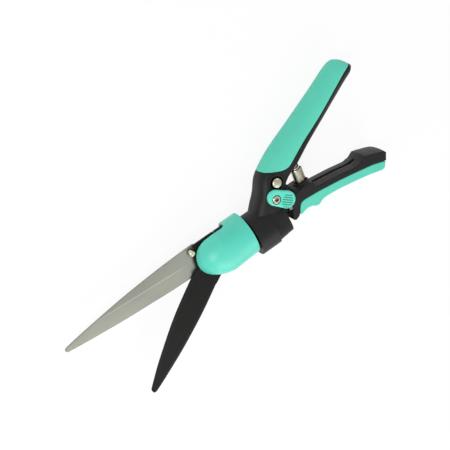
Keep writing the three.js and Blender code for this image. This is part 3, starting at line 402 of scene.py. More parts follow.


# Moulded plastic: an even colour that drifts a little, with painted shade that darkens it in hollows, a fine
# grain in the surface and a roughness that wanders with both.
def plastic(name, look):
    material, wire, shader = newMaterial(name, {
        "Coat Weight": look["coat"], "Coat Roughness": anyPlastic["coatRoughness"],
        "Specular IOR Level": look["specular"]})
    place = objectPlace(wire)
    drift = noise(wire, place, anyPlastic["drift"])
    grain = noise(wire, place, look["grain"], anyPlastic["grainDetail"], anyPlastic["grainRoughness"])
    feed(wire, shader,
         colour=mixed(wire, openness(wire).power(look["hollowShadePower"]),
                      shaded(look["deep"], anyPlastic["hollowShade"]),
                      mixed(wire, drift, look["deep"], look["light"])),
         roughness=(look["roughness"] + wander(grain, anyPlastic["grainWander"])
                    + wander(drift, anyPlastic["driftWander"])),
         normal=bump(wire, look["relief"], anyPlastic["grainDepth"], grain))
    return material


# In each plastic look, the power on the openness sets how strongly painted shade darkens the hollows: the
# higher, the darker.
mintCover = plastic("mintCover", {
    "deep": paint(82, 207, 184), "light": paint(94, 217, 195), "coat": 0.14, "specular": 0.45,
    "grain": 1400, "relief": 0.12, "roughness": 0.4, "hollowShadePower": 0.4})
mintGrip = plastic("mintGrip", {
    "deep": paint(87, 206, 180), "light": paint(99, 216, 190), "coat": 0.0, "specular": 0.4,
    "grain": 1900, "relief": 0.3, "roughness": 0.52, "hollowShadePower": 1})
mintLatch = plastic("mintLatch", {
    "deep": paint(88, 219, 193), "light": paint(100, 227, 203), "coat": 0.1, "specular": 0.5,
    "grain": 1900, "relief": 0.2, "roughness": 0.4, "hollowShadePower": 1.2})
blackCore = plastic("blackCore", {
    "deep": paint(20, 20, 19), "light": paint(27, 27, 26), "coat": 0.0, "specular": 0.3,
    "grain": 1700, "relief": 0.35, "roughness": 0.5, "hollowShadePower": 1.4})


# The crease of the fixed blade's face and the painted highlight along it: where it runs, the highlight's
# width and its strength.
bladeRidge = {"start": (20, -5.9), "end": (116, -11.9), "width": 0.45, "amount": 0.6, "fade": 6,
              "shine": paint(214, 216, 206)}


# A thin line of painted highlight from start to end. Across it, the highlight falls evenly to nothing at the
# width; along it, the product of the ways to both ends fades it there.
def ridgeHighlight(wire, ridge):
    length, angle = polar(np.subtract(ridge["end"], ridge["start"]) / 1000)
    place = wire.node("Mapping", {"vector_type": "TEXTURE"}, {
        "Vector": wire.node("TexCoord", output="Object"), "Location": inFrame((*ridge["start"], 0)),
        "Rotation": (0, 0, angle)})
    x, y = (wire.node("SeparateXYZ", {}, {"Vector": place}, axis) for axis in ("X", "Y"))
    line = wire.reckon("MAXIMUM", 1 - wire.reckon("ABSOLUTE", y) * (1000 / ridge["width"]), 0)
    ends = x * (length - x) * (ridge["fade"] / length**2)
    return line * wire.reckon("MINIMUM", wire.reckon("MAXIMUM", ends, 0), 1) * ridge["amount"]


# Shared steel values; hollowShade is how dark the painted shade in hollows gets.
anySteel = {"streakDetail": 5, "streakRoughness": 0.65, "streakWander": 0.22, "streakShare": 0.6,
            "streakDepth": 0.00005, "clouds": 60, "cloudDetail": 3, "cloudWander": 0.1, "cloudShare": 0.4,
            "hollowShade": 0.12}


# Steel worked along one direction: long streaks of roughness and height, with cloudy patches, and painted
# shade that darkens it in hollows.
def steel(name, look):
    material, wire, shader = newMaterial(name, {"Metallic": 1, "Anisotropic": look["sheen"]})
    stretched = objectPlace(wire, look.get("stretch", (1, 1, 1)))
    streaks = noise(wire, stretched, look["streak"], anySteel["streakDetail"], anySteel["streakRoughness"])
    clouds = noise(wire, objectPlace(wire), anySteel["clouds"], anySteel["cloudDetail"])
    bare = mixed(wire, streaks * anySteel["streakShare"] + clouds * anySteel["cloudShare"],
                 look["deep"], look["light"])
    # A look with a ridge gets a painted highlight mixed into its colour along the crease.
    if "ridge" in look:
        bare = mixed(wire, ridgeHighlight(wire, look["ridge"]), bare, look["ridge"]["shine"])
    # Painted shade darkens the colour in hollows, by the openness.
    feed(wire, shader,
         colour=mixed(wire, openness(wire), shaded(look["deep"], anySteel["hollowShade"]), bare),
         roughness=(look["roughness"] + wander(streaks, anySteel["streakWander"])
                    + wander(clouds, anySteel["cloudWander"])),
         normal=bump(wire, look["relief"], anySteel["streakDepth"], streaks))
    return material


brushedBlade = steel("brushedBlade", {
    "deep": paint(142, 144, 134), "light": paint(162, 164, 153), "sheen": 0.3, "stretch": (0.06, 1, 1),
    "streak": 900, "roughness": 0.52, "relief": 0.25, "ridge": bladeRidge})
brightNickel = steel("brightNickel", {
    "deep": paint(200, 195, 175), "light": paint(225, 219, 201), "sheen": 0, "streak": 500,
    "roughness": 0.3, "relief": 0.1})
plainSteel = steel("plainSteel", {
    "deep": paint(140, 142, 142), "light": paint(168, 170, 170), "sheen": 0, "streak": 700,
    "roughness": 0.36, "relief": 0.15})


# The moving blade's coating: nearly black, with fine specks where the sprayed coat is thicker.
def coating(name, look):
    material, wire, shader = newMaterial(name, {"Specular IOR Level": look["specular"]})
    place = objectPlace(wire)
    specks = noise(wire, place, look["specks"], 2, look["speckRoughness"])
    clouds = noise(wire, place, look["clouds"], 3)
    feed(wire, shader,
         colour=mixed(wire, specks * 0.5 + clouds * 0.5, look["deep"], look["light"]),
         roughness=(look["roughness"] + wander(specks, look["speckWander"])
                    + wander(clouds, look["cloudWander"])),
         normal=bump(wire, look["relief"], look["depth"], specks))
    return material


darkCoating = coating("darkCoating", {
    "deep": paint(22, 22, 21), "light": paint(33, 33, 32), "specular": 0.1, "roughness": 0.42,
    "specks": 2200, "speckRoughness": 0.7, "speckWander": 0.2, "clouds": 80, "cloudWander": 0.1,
    "relief": 0.3, "depth": 0.00004})
print("materials made")

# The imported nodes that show, and those that a piece replaces; plain steel is on all the others.
nodeLooks = {
    "head_base": blackCore, "lever_rivet": brightNickel, "latch_screw": brightNickel,
    "open_stop_pin": brightNickel, "pivot_bolt": brightNickel, "detent_ball": brightNickel,
    "housing": blackCore, "lever_frame": blackCore, "upper_grip": mintGrip, "lever_grip": mintGrip,
    "latch": mintLatch, "head_cover": mintCover, "fixed_blade": brushedBlade, "moving_blade": darkCoating,
    "volute_spring": brightNickel,
}
for name, node in frame["nodes"].items():
    node.data.materials.clear()
    node.data.materials.append(nodeLooks.get(name, plainSteel))

beyond = 30  # how far a cut goes on past the part that it opens

# Head cover: a sleeve round the swivel axis that closes ahead of the blade pivot in a nose.
cover = {
    "radius": 20, "noseRadius": 19.8, "wall": 2, "rear": -39, "cut": -22, "noseLength": 20.2, "floor": 3.4,
    "opening": ((-22.9, -30), (-22.9, -6), (-22.6, 0.5), (-21.9, 3.2), (-20.7, 4.8), (-18.8, 5.4),
                (-6, 5.1), (3, 4.3), (9.5, 3.4), (40, 3.4), (40, -30)),
    "belly": 0.7, "bellyRises": (-38, -16), "bellyFalls": (-15, 2), "lean": 0.6, "leansOver": (-10, 12),
    "nearFull": 1.02, "nearSlim": 0.09, "slimsOver": (-12, 10), "screws": (-25.8, -34.6),
    "screwWell": ((-21, 0), (-21, 3.4), (-19.85, 3.4), (-18.3, 1.9), (-10, 1.9), (-10, 0)),
    "cell": 0.4, "softness": 5}


# The radius along x is the sleeve's, eases to the nose's, and closes in a quarter of an ellipse.
def coverProfile(shrink, rear):
    ease = np.linspace(0, 1, 10)
    arc = np.linspace(0, np.pi / 2, 48)[1:]
    radius = blendOf(cover["radius"], cover["noseRadius"], smoothStep(ease, 0, 1)) - shrink
    nose = np.column_stack([pivotX + (cover["noseLength"] - shrink) * np.sin(arc),
                            (cover["noseRadius"] - shrink) * np.cos(arc)])
    return np.vstack([[rear, 0], [rear, cover["radius"] - shrink],
                      np.column_stack([blendOf(cover["cut"] / 2, pivotX, ease), radius]), nose])


# The skin: round below the axis, and above it a section with cos and sin to the power 2/p, where p
# rises by belly half way along. The nose leans towards the bright blade, and is slimmer on the side of
# the dark one.
def coverSkin():
    x, radius = coverProfile(0, cover["rear"]).T[..., None]
    a = fullTurn(200)[None, :]
    belly = cover["belly"] * swell(x, cover["bellyRises"], cover["bellyFalls"])
    power = np.where(np.sin(a) > 0, 2 / (2 + belly), 1)
    y = radius * signedPower(np.cos(a), power) - cover["lean"] * smoothStep(x, *cover["leansOver"])
    near = cover["nearFull"] - cover["nearSlim"] * smoothStep(x, *cover["slimsOver"])
    z = radius * signedPower(np.sin(a), power)
    return ringBody("headCover", np.stack([x + 0 * a, np.where(y > 0, y * near, y), z], -1))


# The skin less its hollow, less the opening in XZ carried along y, and less the wells of its screws.
def headCover():
    shell = coverSkin()
    hollow = alongX("hollow", coverProfile(cover["wall"], cover["rear"] - 1), count=160)
    underBlades = np.stack([[[x, y, z] for x, z in cover["opening"]] for y in (-beyond, beyond)])
    wells = [turned("well", cover["screwWell"], (x, 0, 0), (0, 0, 1)) for x in cover["screws"]]
    cut(shell, hollow, ringBody("underBlades", underBlades), *wells)
    moulded(shell, cover["cell"], cover["softness"])
    return finished(shell, mintCover, "head", "cover_mint", "head_cover")


headCover()
print("head cover made")

# Head base: hub in the sleeve, neck in the housing, and the tray under the blades.
base = {
    "hub": 17.7, "neck": 10.5, "neckRear": -57.5, "rootHalf": 19.7, "heelRear": -11.1, "sweepGap": 0.3,
    "plateTop": -2.8, "plateBottom": -7.8, "trayTop": -0.2, "trayInner": 14.8, "chamfer": 0.6,
    "tray": ((-24, -14.4), (-21.7, -16), (5.5, -16), (7.5, -14), (7.5, 8.4), (2.5, 15.4), (-4.5, 17.4),
             (-21.7, 16.2), (-21.7, 14.4), (-24, 14.4)),
    "rib": ((-23, 0), (-23, 15), (-15, 8.5), (-15, 0)), "ribHalf": 12,
    "guard": ((-23, -8), (-23, -15.7), (-21.7, -16.7), (-21.7, -19.7), (-11.1, -19.7), (-11.1, -8)),
    "channel": ((-41.5, -6.65, -6.65), (-14, 6.65, 5.95)), "armWay": ((-32.9, -13.9, 2.5), (-14, 6.65, 5.95)),
    "rodWay": (-59, -39, 2.8), "ringGroove": (-55.7, -53.9, 13), "ringCore": (-60, -50, 8.6),
    "detentX": -48, "detentReach": 11.4, "dimple": 2.65, "track": 2.3,
    "rivetWell": 3.5, "screwHole": 1.75, "cell": 0.4, "softness": 3}
rivetPlaces = ((-16, -8.7), (-16, 8.7))
pivotHole, rivetHole = 3.3, 2.1


# A track round the neck, half a circle deep, and a dimple in it at each quarter turn.
def detentCuts():
    at, reach = base["detentX"], base["detentReach"]
    groove = arcPoints((at, reach), base["track"], np.pi, 2 * np.pi, 16)
    track = alongX("track", [[groove[0][0], reach + 2.6], *groove, [groove[-1][0], reach + 2.6]])
    ball = arcPoints((0, 0), base["dimple"], np.pi, 0, 24)
    quarters = ((0, 1, 0), (0, -1, 0), (0, 0, 1), (0, 0, -1))
    return track, *[turned("dimple", ball, np.array([at, 0, 0]) + np.array(way) * reach, way, 40)
                    for way in quarters]


# Hub and neck are turned; tray and guard are plates, and a cone between them is cut off flat on top.
def headBase():
    hub, neck, rear, top = base["hub"], base["neck"], cover["rear"], base["plateTop"]
    body = alongX("headBase", [[cover["cut"], 0], [cover["cut"], hub], [rear + 1, hub], [rear, hub - 1],
                               [rear, neck], [base["neckRear"] + 1, neck], [base["neckRear"], neck - 1],
                               [base["neckRear"], 0]])
    under = chamferedPlate("tray", base["tray"], base["plateBottom"], base["trayTop"], base["chamfer"])
    cut(under, block("seat", (cover["cut"], -beyond, top), (13, base["trayInner"], beyond)))
    rib, ribHalf = alongX("rib", base["rib"]), base["ribHalf"]
    combine(rib, [block("ribRoom", (-60, -ribHalf, -beyond), (60, ribHalf, top))], "INTERSECT")
    guard = plate("guard", base["guard"], 0, cover["floor"] - 0.3)
    sweep = float(np.hypot(base["heelRear"] - pivotX, base["rootHalf"])) + base["sweepGap"]
    cut(guard, post("sweep", (pivotX, 0), sweep, -1, 8, 200))
    union(body, under, rib, guard)
    channel = block("channel", *base["channel"])
    cut(channel, block("closed", (cover["cut"], -beyond, -beyond), (60, beyond, 0)))
    cut(body, channel, block("armWay", *base["armWay"]), alongX("rodWay", bar(*base["rodWay"])),
        post("pivotHole", (pivotX, 0), pivotHole, -9, -1),
        *[post("rivetHole", place, rivetHole, -20, -1) for place in rivetPlaces],
        *[post("rivetWell", place, base["rivetWell"], -20, base["plateBottom"]) for place in rivetPlaces],
        *[post("screwHole", (x, 0), base["screwHole"], -25, -9) for x in cover["screws"]])
    ringGroove = alongX("ringGroove", bar(*base["ringGroove"]))
    cut(ringGroove, alongX("ringCore", bar(*base["ringCore"])))
    track, *dimples = detentCuts()
    cut(body, track, ringGroove, *dimples)
    moulded(body, base["cell"], base["softness"])
    return finished(body, blackCore, "head", "core_black", "head_base")


headBase()
print("head base made")

# Blades: the fixed one lies in the tray, and the moving one above it on the pivot. A share is of the
# blade's width at a station: crestShare is the least way from the back to the crest, and each of the
# others is the most that its measure may take there.
blades = {
    "thickness": 2.5, "edge": 0.7, "tipWidth": 4.6, "tipClosing": 0.46, "bevelShare": 0.6,
    "open": np.radians(34.8), "crease": 0.14, "creaseShare": 0.08, "crestShare": 0.1,
    "crestFlat": 0.4, "crestFlatShare": 0.04, "chamferShare": 0.2, "cornerFall": 0.92, "sharpOver": 8,
    "stations": 150, "crowding": 1.6, "crankArm": 10.657, "crankHole": 1.95}
stopPin = {"place": (13.8, -15.2), "radius": 2.5, "gap": 0.3}
fixedShape = {
    "root": 12, "reach": 148, "flat": -0.15, "bevel": 6, "chamfer": 0.4, "drop": 0.1,
    "back": [[4, -19.7], [40, -18.5], [78, -15.8], [110, -12.1], [134, -8.8], [148, -6.4]],
    "edge": [[4, 7], [40, 6], [68, 4.3], [94, 2.5], [118, 0.2], [134, -1.5], [148, -3.3]],
    "fall": 0.35, "fallGrows": (13, 32), "fallEnds": (76, 116), "joinsAt": 13, "heelRear": -21.7,
    "heelBack": [[-21.7, -18.1], [6.5, -18.1], [8.5, -19.5]],
    "shoulder": ((7, 8), (3, 11), (-2, 14.5), (-9, 14.5))}
movingShape = {
    "root": 24, "reach": 134.45, "flat": 0.15, "bevel": 2.6, "chamfer": 2.9, "drop": 0.7,
    "back": [[20, 11.9], [48, 11.7], [72, 10.3], [96, 7.9], [120, 4.3], [134.45, 1.6]],
    "edge": [[20, -12.1], [44, -12.4], [64, -12], [80, -10.7], [96, -8.9], [112, -6.8], [128, -3.9],
             [134.45, -2.6]],
    "joinsAt": 25, "heelEdge": (23, -12.1), "throatGap": 0.9, "heelFront": 10.6, "heelSide": 4,
    "shoulder": ((-9, 7), (0, 14))}


# The rims pass smoothly through their points and close over the last half width of the tip in a
# quarter circle.
def bladeRims(shape, s):
    back, edge = (np.interp(s, *curveThrough(shape[rim], 200).T) for rim in ("back", "edge"))
    radius = blades["tipWidth"] / 2
    inside = np.clip((s - (shape["reach"] - radius)) / radius, 0, 1)
    closing = blades["tipClosing"] * (1 - np.sqrt(1 - inside**2))
    return blendOf(back, edge, closing), blendOf(edge, back, closing)


# Rings across the blade: flat face, thin wall at the cutting edge, ground face, other face and back,
# with a narrow facet at each corner that catches the light. The flat face falls from its crest to the
# back by fall. Each blade's body is on its own side of the plane in which the two flat faces meet.
def bladeRings(s, back, edge, crest, fall, shape):
    side, flat = np.sign(edge[0] - back[0]), shape["flat"]
    inwards = np.sign(flat)
    ground = flat + inwards * blades["thickness"]
    across = np.abs(edge - back)
    fine = np.minimum(blades["crease"], blades["creaseShare"] * across)
    crest = back + side * np.maximum(blades["crestShare"] * across, side * (crest - back))
    share = np.minimum(shape["chamfer"], blades["chamferShare"] * across)
    drop = shape["drop"] * share / shape["chamfer"]
    thin = flat + inwards * blades["edge"]
    beside = np.minimum(blades["crestFlat"], blades["crestFlatShare"] * across)
    dip = inwards * fall * beside / np.maximum(np.abs(crest - back), 0.1)
    places = [
        (back, flat + inwards * (fall + fine)), (back + side * fine, flat + inwards * fall),
        (crest - side * beside, flat + dip), (crest, flat), (crest + side * beside, flat),
        (edge - side * fine, flat), (edge, flat + inwards * fine), (edge, thin),
        (edge - side * np.minimum(shape["bevel"], blades["bevelShare"] * across), ground),
        (back + side * share, ground), (back + side * fine, ground - inwards * drop * blades["cornerFall"]),
        (back, ground - inwards * (drop + fine))]
    return np.stack([np.column_stack([s, y, z + 0 * s]) for y, z in places], 1)


# Stations from root to tip, crowded towards the tip: the share left to go is raised to a power.
def alongBlade(shape):
    share = np.linspace(0, 1, blades["stations"])
    return shape["root"] + (shape["reach"] - shape["root"]) * (1 - (1 - share) ** blades["crowding"])


# The blade's rings and a heel: a plate whose outline runs round the tray and meets the rims.
def fixedBlade():
    s, flat = alongBlade(fixedShape), fixedShape["flat"]
    back, edge = bladeRims(fixedShape, s)
    (startX, startY), (endX, endY) = bladeRidge["start"], bladeRidge["end"]
    crest = blendOf(startY, endY, (s - startX) / (endX - startX))
    fall = fixedShape["fall"] * swell(s, fixedShape["fallGrows"], fixedShape["fallEnds"])
    body = ringBody("fixedBlade", bladeRings(s, back, edge, crest, fall, fixedShape))
    join = fixedShape["joinsAt"]
    backAt, edgeAt = (np.interp(join, s, rim) for rim in (back, edge))
    first, middle, second, seat = fixedShape["shoulder"]
    heel = np.vstack([fixedShape["heelBack"], [[join, backAt], [join, edgeAt]],
                      bend((join, edgeAt), first, middle), bend(middle, second, seat),
                      [[fixedShape["heelRear"], seat[1]]]])
    union(body, chamferedPlate("heel", heel, flat - blades["thickness"], flat, blades["crease"]))
    cut(body, post("pivotHole", (pivotX, 0), pivotHole, -4, 1),
        post("pinHole", stopPin["place"], stopPin["radius"] + stopPin["gap"], -4, 1),
        *[post("rivetHole", place, rivetHole, -4, 1) for place in rivetPlaces])
    return finished(creased(body, blades["sharpOver"]), brushedBlade, "head", "brushed_blade", "fixed_blade")


# A rotation of points in the plane about the blade pivot, from the shut place to the open one.
def opened(points, angle):
    c, n = np.cos(angle), np.sin(angle)
    return np.asarray(points, float) @ np.array([[c, n], [-n, c]])


# The same for rings, whose heights stay.
def turnedOpen(rings, angle):
    flat = opened(rings[..., :2].reshape(-1, 2), angle) + [pivotX, 0]
    return np.concatenate([flat.reshape(*rings.shape[:2], 2), rings[..., 2:]], -1)


# The heel's front is an arc about the pivot that clears the stop pin all the way from open to shut.
def movingBlade():
    s, flat, swing = alongBlade(movingShape), movingShape["flat"], blades["open"]
    back, edge = bladeRims(movingShape, s)
    rings = bladeRings(s, back, edge, back, 0 * s, movingShape)
    reach, heading = polar(np.subtract(stopPin["place"], (pivotX, 0)))
    width = np.arcsin((stopPin["radius"] + stopPin["gap"]) / reach)
    throat = arcPoints((0, 0), reach - stopPin["radius"] - movingShape["throatGap"], heading + width + 0.02,
                       heading - swing - width)
    half, join = base["rootHalf"], movingShape["joinsAt"]
    corner, rearCorner = opened([[x - pivotX, -half] for x in (movingShape["heelFront"], base["heelRear"])],
                                -swing)
    backAt, edgeAt = (np.interp(join, s, rim) for rim in (back, edge))
    rear, side, (middle, second) = rearCorner[0], movingShape["heelSide"], movingShape["shoulder"]
    heel = np.vstack([[[join, edgeAt], movingShape["heelEdge"]], throat, [corner], [rearCorner],
                      [[rear, -side]], bend((rear, -side), (rear, side), middle),
                      bend(middle, second, (join, backAt))])
    body = ringBody("movingBlade", turnedOpen(rings, swing))
    union(body, chamferedPlate("heel", opened(heel, swing) + [pivotX, 0], flat, flat + blades["thickness"],
                               blades["crease"]))
    crank = opened([blades["crankArm"] * towards(-np.pi / 2 - swing / 2)], swing)[0]
    cut(body, post("pivotHole", (pivotX, 0), pivotHole, -1, 4),
        post("crankHole", crank + [pivotX, 0], blades["crankHole"], -1, 4))
    return finished(creased(body, blades["sharpOver"]), darkCoating, "blade", "coated_blade", "moving_blade")


fixedBlade()
movingBlade()
print("blades made")

# Handle: collar, neck and core in one moulding, with the mint grip over its outer side. What is over a
# pair of shares happens between them on the way from the grip's front to its end.
handle = {
    "outer": [[-49.5, -11.6], [-54.8, -17.8], [-62, -25.8], [-71.4, -39.7], [-91.2, -53.2], [-119.9, -65.4],
              [-150.1, -78.2], [-175.4, -89.4], [-185.2, -87.4], [-191.2, -80.8]],
    "inner": [[-75.6, 6], [-78.9, -4.6], [-86.4, -16.6], [-94.6, -23.2], [-110.7, -29.6], [-127.4, -39.4],
              [-152.7, -53], [-178, -66.3], [-187.6, -71.4], [-192.6, -76.2]],
    "parting": [[-204, -78], [-192, -80.6], [-186, -80], [-173.5, -73.9], [-146.5, -59], [-119.8, -46],
                [-104, -37.2], [-97, -33.9], [-90.5, -34.6], [-83.4, -37.2], [-73.4, -41.8], [-60, -49.5]],
    "neckHalf": 14.2, "neckPower": 3.4, "gripHalf": 13, "gripPower": 2.15, "neckToGrip": (0.2, 0.5),
    "slim": 0.14, "slimOver": (0.6, 0.9), "tail": 0.42, "tailOver": (0.86, 1), "ridge": 0.1,
    "collarRadius": 19.7, "collarDrop": 6, "collarFront": -40.8, "collarStepX": -60.3, "collarStep": 1.4,
    "collarStart": -48.8, "collarAbove": [[-62, -12.2], [-75.6, -9]],
    "collarBelow": [[-62, 23], [-75.6, 21.2]], "collarPower": (2, 3.6),
    "boss": (7.6, -14.8, 14.8), "rivetHole": 3.3, "rivetWell": 6.1, "rivetFloor": 10.8,
    "springSeat": [[-8, 0], [-8, 4], [0, 3.7], [0, 1.6], [1.6, 1.6], [2, 1.2], [2, 0]],
    "slotRadius": 9.3, "slotHalf": 7.8, "slotRest": [[-92.4, -27.5], [-92.4, -23], [-110, -14], [-110, 9],
                                                     [-74, 9], [-73.2, -4], [-73.6, -14]],
    "neckBore": [[-76.5, 0], [-76.5, 3.1], [-57.8, 3.1], [-57.8, 12.9], [-53.9, 12.9], [-53.9, 10.8],
                 [-39.8, 10.8], [-39.8, 0]],
    "latchSeat": (9.3, 14.3, 30), "latchHole": (2.15, 2, 20), "studRoom": ((-95, -10, 6.8), (-77.1, 0, 11.8)),
    "coreCell": 0.505, "coreSoftness": 1, "gripCell": 0.5, "gripSoftness": 6, "gap": 0.12}
leverAxis = (-79.6, -29)
latchAxis = (-71.5, -17.7)


# A body between two curves in the XY plane. At each station the section spans from one curve to the
# other: across is cos to the power 2/p, up is sin to the power 2/p, lowered towards the sides by ridge.
def betweenRails(name, outer, inner, halfWidth, power, ridge=0, stations=160):
    t = np.linspace(0, 1, stations)[:, None]
    a = fullTurn(120)[None, :]
    outer, inner = curveThrough(outer, stations), curveThrough(inner, stations)
    across = signedPower(np.cos(a), 2 / power(t))
    up = signedPower(np.sin(a), 2 / power(t)) * (1 - ridge * np.abs(across))
    middle, half = (outer + inner) / 2, (inner - outer) / 2
    flat = middle[:, None, :] + half[:, None, :] * across[..., None]
    return ringBody(name, np.concatenate([flat, (halfWidth(t) * up)[..., None]], -1))


# The whole upper handle: wide and nearly square at the neck, slimmer and rounder along the grip.
def gripEnvelope(name):
    def grip(t):
        return smoothStep(t, *handle["neckToGrip"])

    def halfWidth(t):
        return (blendOf(handle["neckHalf"], handle["gripHalf"], grip(t))
                * (1 - handle["slim"] * smoothStep(t, *handle["slimOver"]))
                * (1 - handle["tail"] * smoothStep(t, *handle["tailOver"]) ** 2))
    return betweenRails(name, handle["outer"], handle["inner"], halfWidth,
                        lambda t: blendOf(handle["neckPower"], handle["gripPower"], grip(t)), handle["ridge"])


# Everything beyond the line where mint and black meet, shifted outwards by a gap.
def beyondParting(gap):
    line = curveThrough(handle["parting"], 90) - [0, gap]
    return plate("beyond", np.vstack([line, [[-60, -110], [-204, -110]]]), -beyond, beyond)


# Between collar and neck: round in front, and square with round corners where the neck begins.
def collarBody():
    radius, drop = handle["collarRadius"] - handle["collarStep"], handle["collarDrop"]
    start = handle["collarStart"]
    return betweenRails("collarBody", [[start, drop - radius], *handle["collarAbove"]],
                        [[start, drop + radius], *handle["collarBelow"]],
                        lambda t: blendOf(radius, handle["neckHalf"], smoothStep(t, 0.1, 1)),
                        lambda t: blendOf(*handle["collarPower"], t), stations=60)


# The envelope on this side of the parting, joined with collar, boss and spring seat, less the rooms of
# the sleeve, the head's neck, the lever's web, the rivet and the latch.
def housing():
    core = cut(gripEnvelope("housingShell"), beyondParting(-handle["gap"]))
    radius, front, rear = handle["collarRadius"], handle["collarFront"], handle["collarStepX"]
    ring = alongX("ring", bar(rear, front, radius), handle["collarDrop"], 200)
    union(core, collarBody(), ring, post("boss", leverAxis, *handle["boss"]),
          turnedOnSpring("seat", handle["springSeat"]))
    slot = np.vstack([arcPoints(leverAxis, handle["slotRadius"], 0, -np.pi), handle["slotRest"]])
    half, well, floor = handle["slotHalf"], handle["rivetWell"], handle["rivetFloor"]
    cut(core, alongX("sleeveRoom", bar(front, 0, beyond)), alongX("neckBore", handle["neckBore"]),
        plate("webSlot", slot, -half, half),
        post("rivetWell", leverAxis, well, floor, beyond),
        post("rivetWell", leverAxis, well, -beyond, -floor),
        post("rivetHole", leverAxis, handle["rivetHole"], -20, 20),
        post("latchSeat", latchAxis, *handle["latchSeat"]),
        post("latchHole", latchAxis, *handle["latchHole"]), block("studRoom", *handle["studRoom"]))
    moulded(core, handle["coreCell"], handle["coreSoftness"])
    return finished(core, blackCore, "handle", "core_black", "housing")


# The part of the same envelope beyond the parting.
def upperGrip():
    grip = gripEnvelope("upperGrip")
    combine(grip, [beyondParting(handle["gap"])], "INTERSECT")
    moulded(grip, handle["gripCell"], handle["gripSoftness"])
    return finished(grip, mintGrip, "handle", "grip_mint", "upper_grip")


# Spring between the handles, on the line from its seat under the grip to its socket in the lever. The two
# distances of flex along that line give points that are worked out but not used.
spring = {"top": (-106.3, -27.6), "foot": (-104.7, -10.6), "strip": 0.5, "turns": 3, "inner": 2.4,
          "outer": 5.9, "flatten": 0.93, "tuck": 0.4, "shoulder": 4.5, "upperOver": (0.2, 0.62),
          "endWidth": 4.5, "lowerOver": (0, 0.6), "section": (0.25, 0.6), "floorGap": 0.8,
          "socket": 6.2, "depth": 2.6, "flex": (2, 16.5), "sharpOver": 50}
springLine = np.subtract(spring["foot"], spring["top"])
springLength = float(np.hypot(*springLine))
springAim = np.array([*(springLine / springLength), 0.0])


# The point on the spring's line at a distance from its top.
def onSpring(along):
    return np.array([*spring["top"], 0]) + springAim * along


# A profile of [distance, radius] pairs turned about the spring's line.
def turnedOnSpring(name, profile):
    return turned(name, profile, onSpring(0), springAim)


# One flat strip wound round the spring's line: the radius grows evenly with the angle. The upper rim
# falls softly from the tuck at the inner turns to the outer turns' shoulder, and the lower rim from
# the strip's end width to just above the socket's floor. Its section is a rounded bar.
def voluteSpring():
    t = np.linspace(0, 1, 360)[:, None]
    a = 2 * np.pi * spring["turns"] * t
    side = np.array([-springAim[1], springAim[0], 0])
    out = side * np.cos(a) + np.array([0, 0, spring["flatten"]]) * np.sin(a)
    tuck, low = spring["tuck"], springLength + spring["depth"] - spring["floorGap"]
    upper = blendOf(tuck, spring["shoulder"], smoothStep(t, *spring["upperOver"]))
    lower = blendOf(tuck + spring["endWidth"], low, smoothStep(t, *spring["lowerOver"]))
    radius = blendOf(spring["inner"], spring["outer"], t) - spring["strip"] / 2
    centre = onSpring((lower + upper) / 2) + out * radius
    edge, (alongPower, outPower) = fullTurn(24), spring["section"]
    u, v = signedPower(np.cos(edge), alongPower), signedPower(np.sin(edge), outPower)
    rings = (centre[:, None, :] + springAim * (u[None, :, None] * (lower - upper)[:, None, :] / 2)
             + out[:, None, :] * (v[None, :, None] * spring["strip"] / 2))
    strip = creased(ringBody("voluteSpring", rings), spring["sharpOver"])
    dressed(strip, brightNickel, "bright_steel", "volute_spring")
    start, end = (tuple(inFrame(onSpring(along)).tolist()) for along in spring["flex"])
    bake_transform(strip)
    return strip


housing()
upperGrip()
voluteSpring()
print("handle made")

# Lever: black frame on top, mint pad under it.
lever = {
    "top": [[-91, -9.2], [-109, -9.2], [-110.6, -8.4], [-111.4, -3], [-118, -2], [-137, 0.6], [-153, 3.6],
            [-159.6, 3.2], [-161.8, 2.3], [-165.8, 0.2], [-170, 1.3], [-174, 2.8], [-180, 4.9],
            [-185.2, 7.2], [-186.4, 9.2], [-183, 16.2]],
    "parting": [[-181, 15.3], [-170, 11.6], [-159.3, 9.5], [-148.7, 7.5], [-133.4, 4.8], [-122.1, 3.3],
                [-111.9, 1.9], [-101.5, 1], [-95.7, 0.6], [-92.3, 1.6], [-89.8, 4.6], [-87, 10]],
    "toe": [[-85.3, 11.6], [-81.6, 13], [-79.8, 12.2], [-79.9, 10.6], [-83, 2], [-86.4, -3.6]],
    "underside": [[-88.6, 11.6], [-92.6, 10.4], [-96.8, 10], [-100.7, 10.9], [-104.3, 13.2], [-107.2, 13.8],
                  [-110.2, 12.2], [-114.1, 11], [-121.3, 11.3], [-132.2, 12.6], [-153.5, 16.5],
                  [-164.1, 18.8], [-175.6, 22], [-179.2, 21.6], [-182.4, 16.4]],
    "half": 12.2, "crown": 0.9, "crownHalf": 4, "partingGap": 0.3,
    "web": 6.6, "webRadius": 8.6, "webRest": [[-89.6, -19], [-94, -8], [-94, 0], [-86, 4.5], [-79, 4.5],
                                              [-77.2, -1], [-74.8, -13]],
    "grooveHalf": 1.8, "grooveEnd": (-158.5, 0.4, 0), "groove": [
        [-100, -3], [-111, -0.4], [-133, 3.2], [-154, 6.6], [-158.5, 5.6], [-158.5, -6], [-112.5, -9]],
    "fork": 3.4, "forkRoom": [[-89.9, 1], [-89.6, -5], [-84, -6.4], [-68.5, -7.4], [-68.5, 7.4], [-83, 8.4],
                              [-88, 6.4]],
    "mouth": [[16.6, 0], [16.6, 6.9], [17.3, 7.6], [20, 7.8], [20, 0]], "socketRise": 6, "socketTaper": 0.6,
    "pinHole": (2.15, -14, 14), "cell": 0.42, "softness": 2, "padSoftness": 14}
rodPinAt = (-82.5, 1)


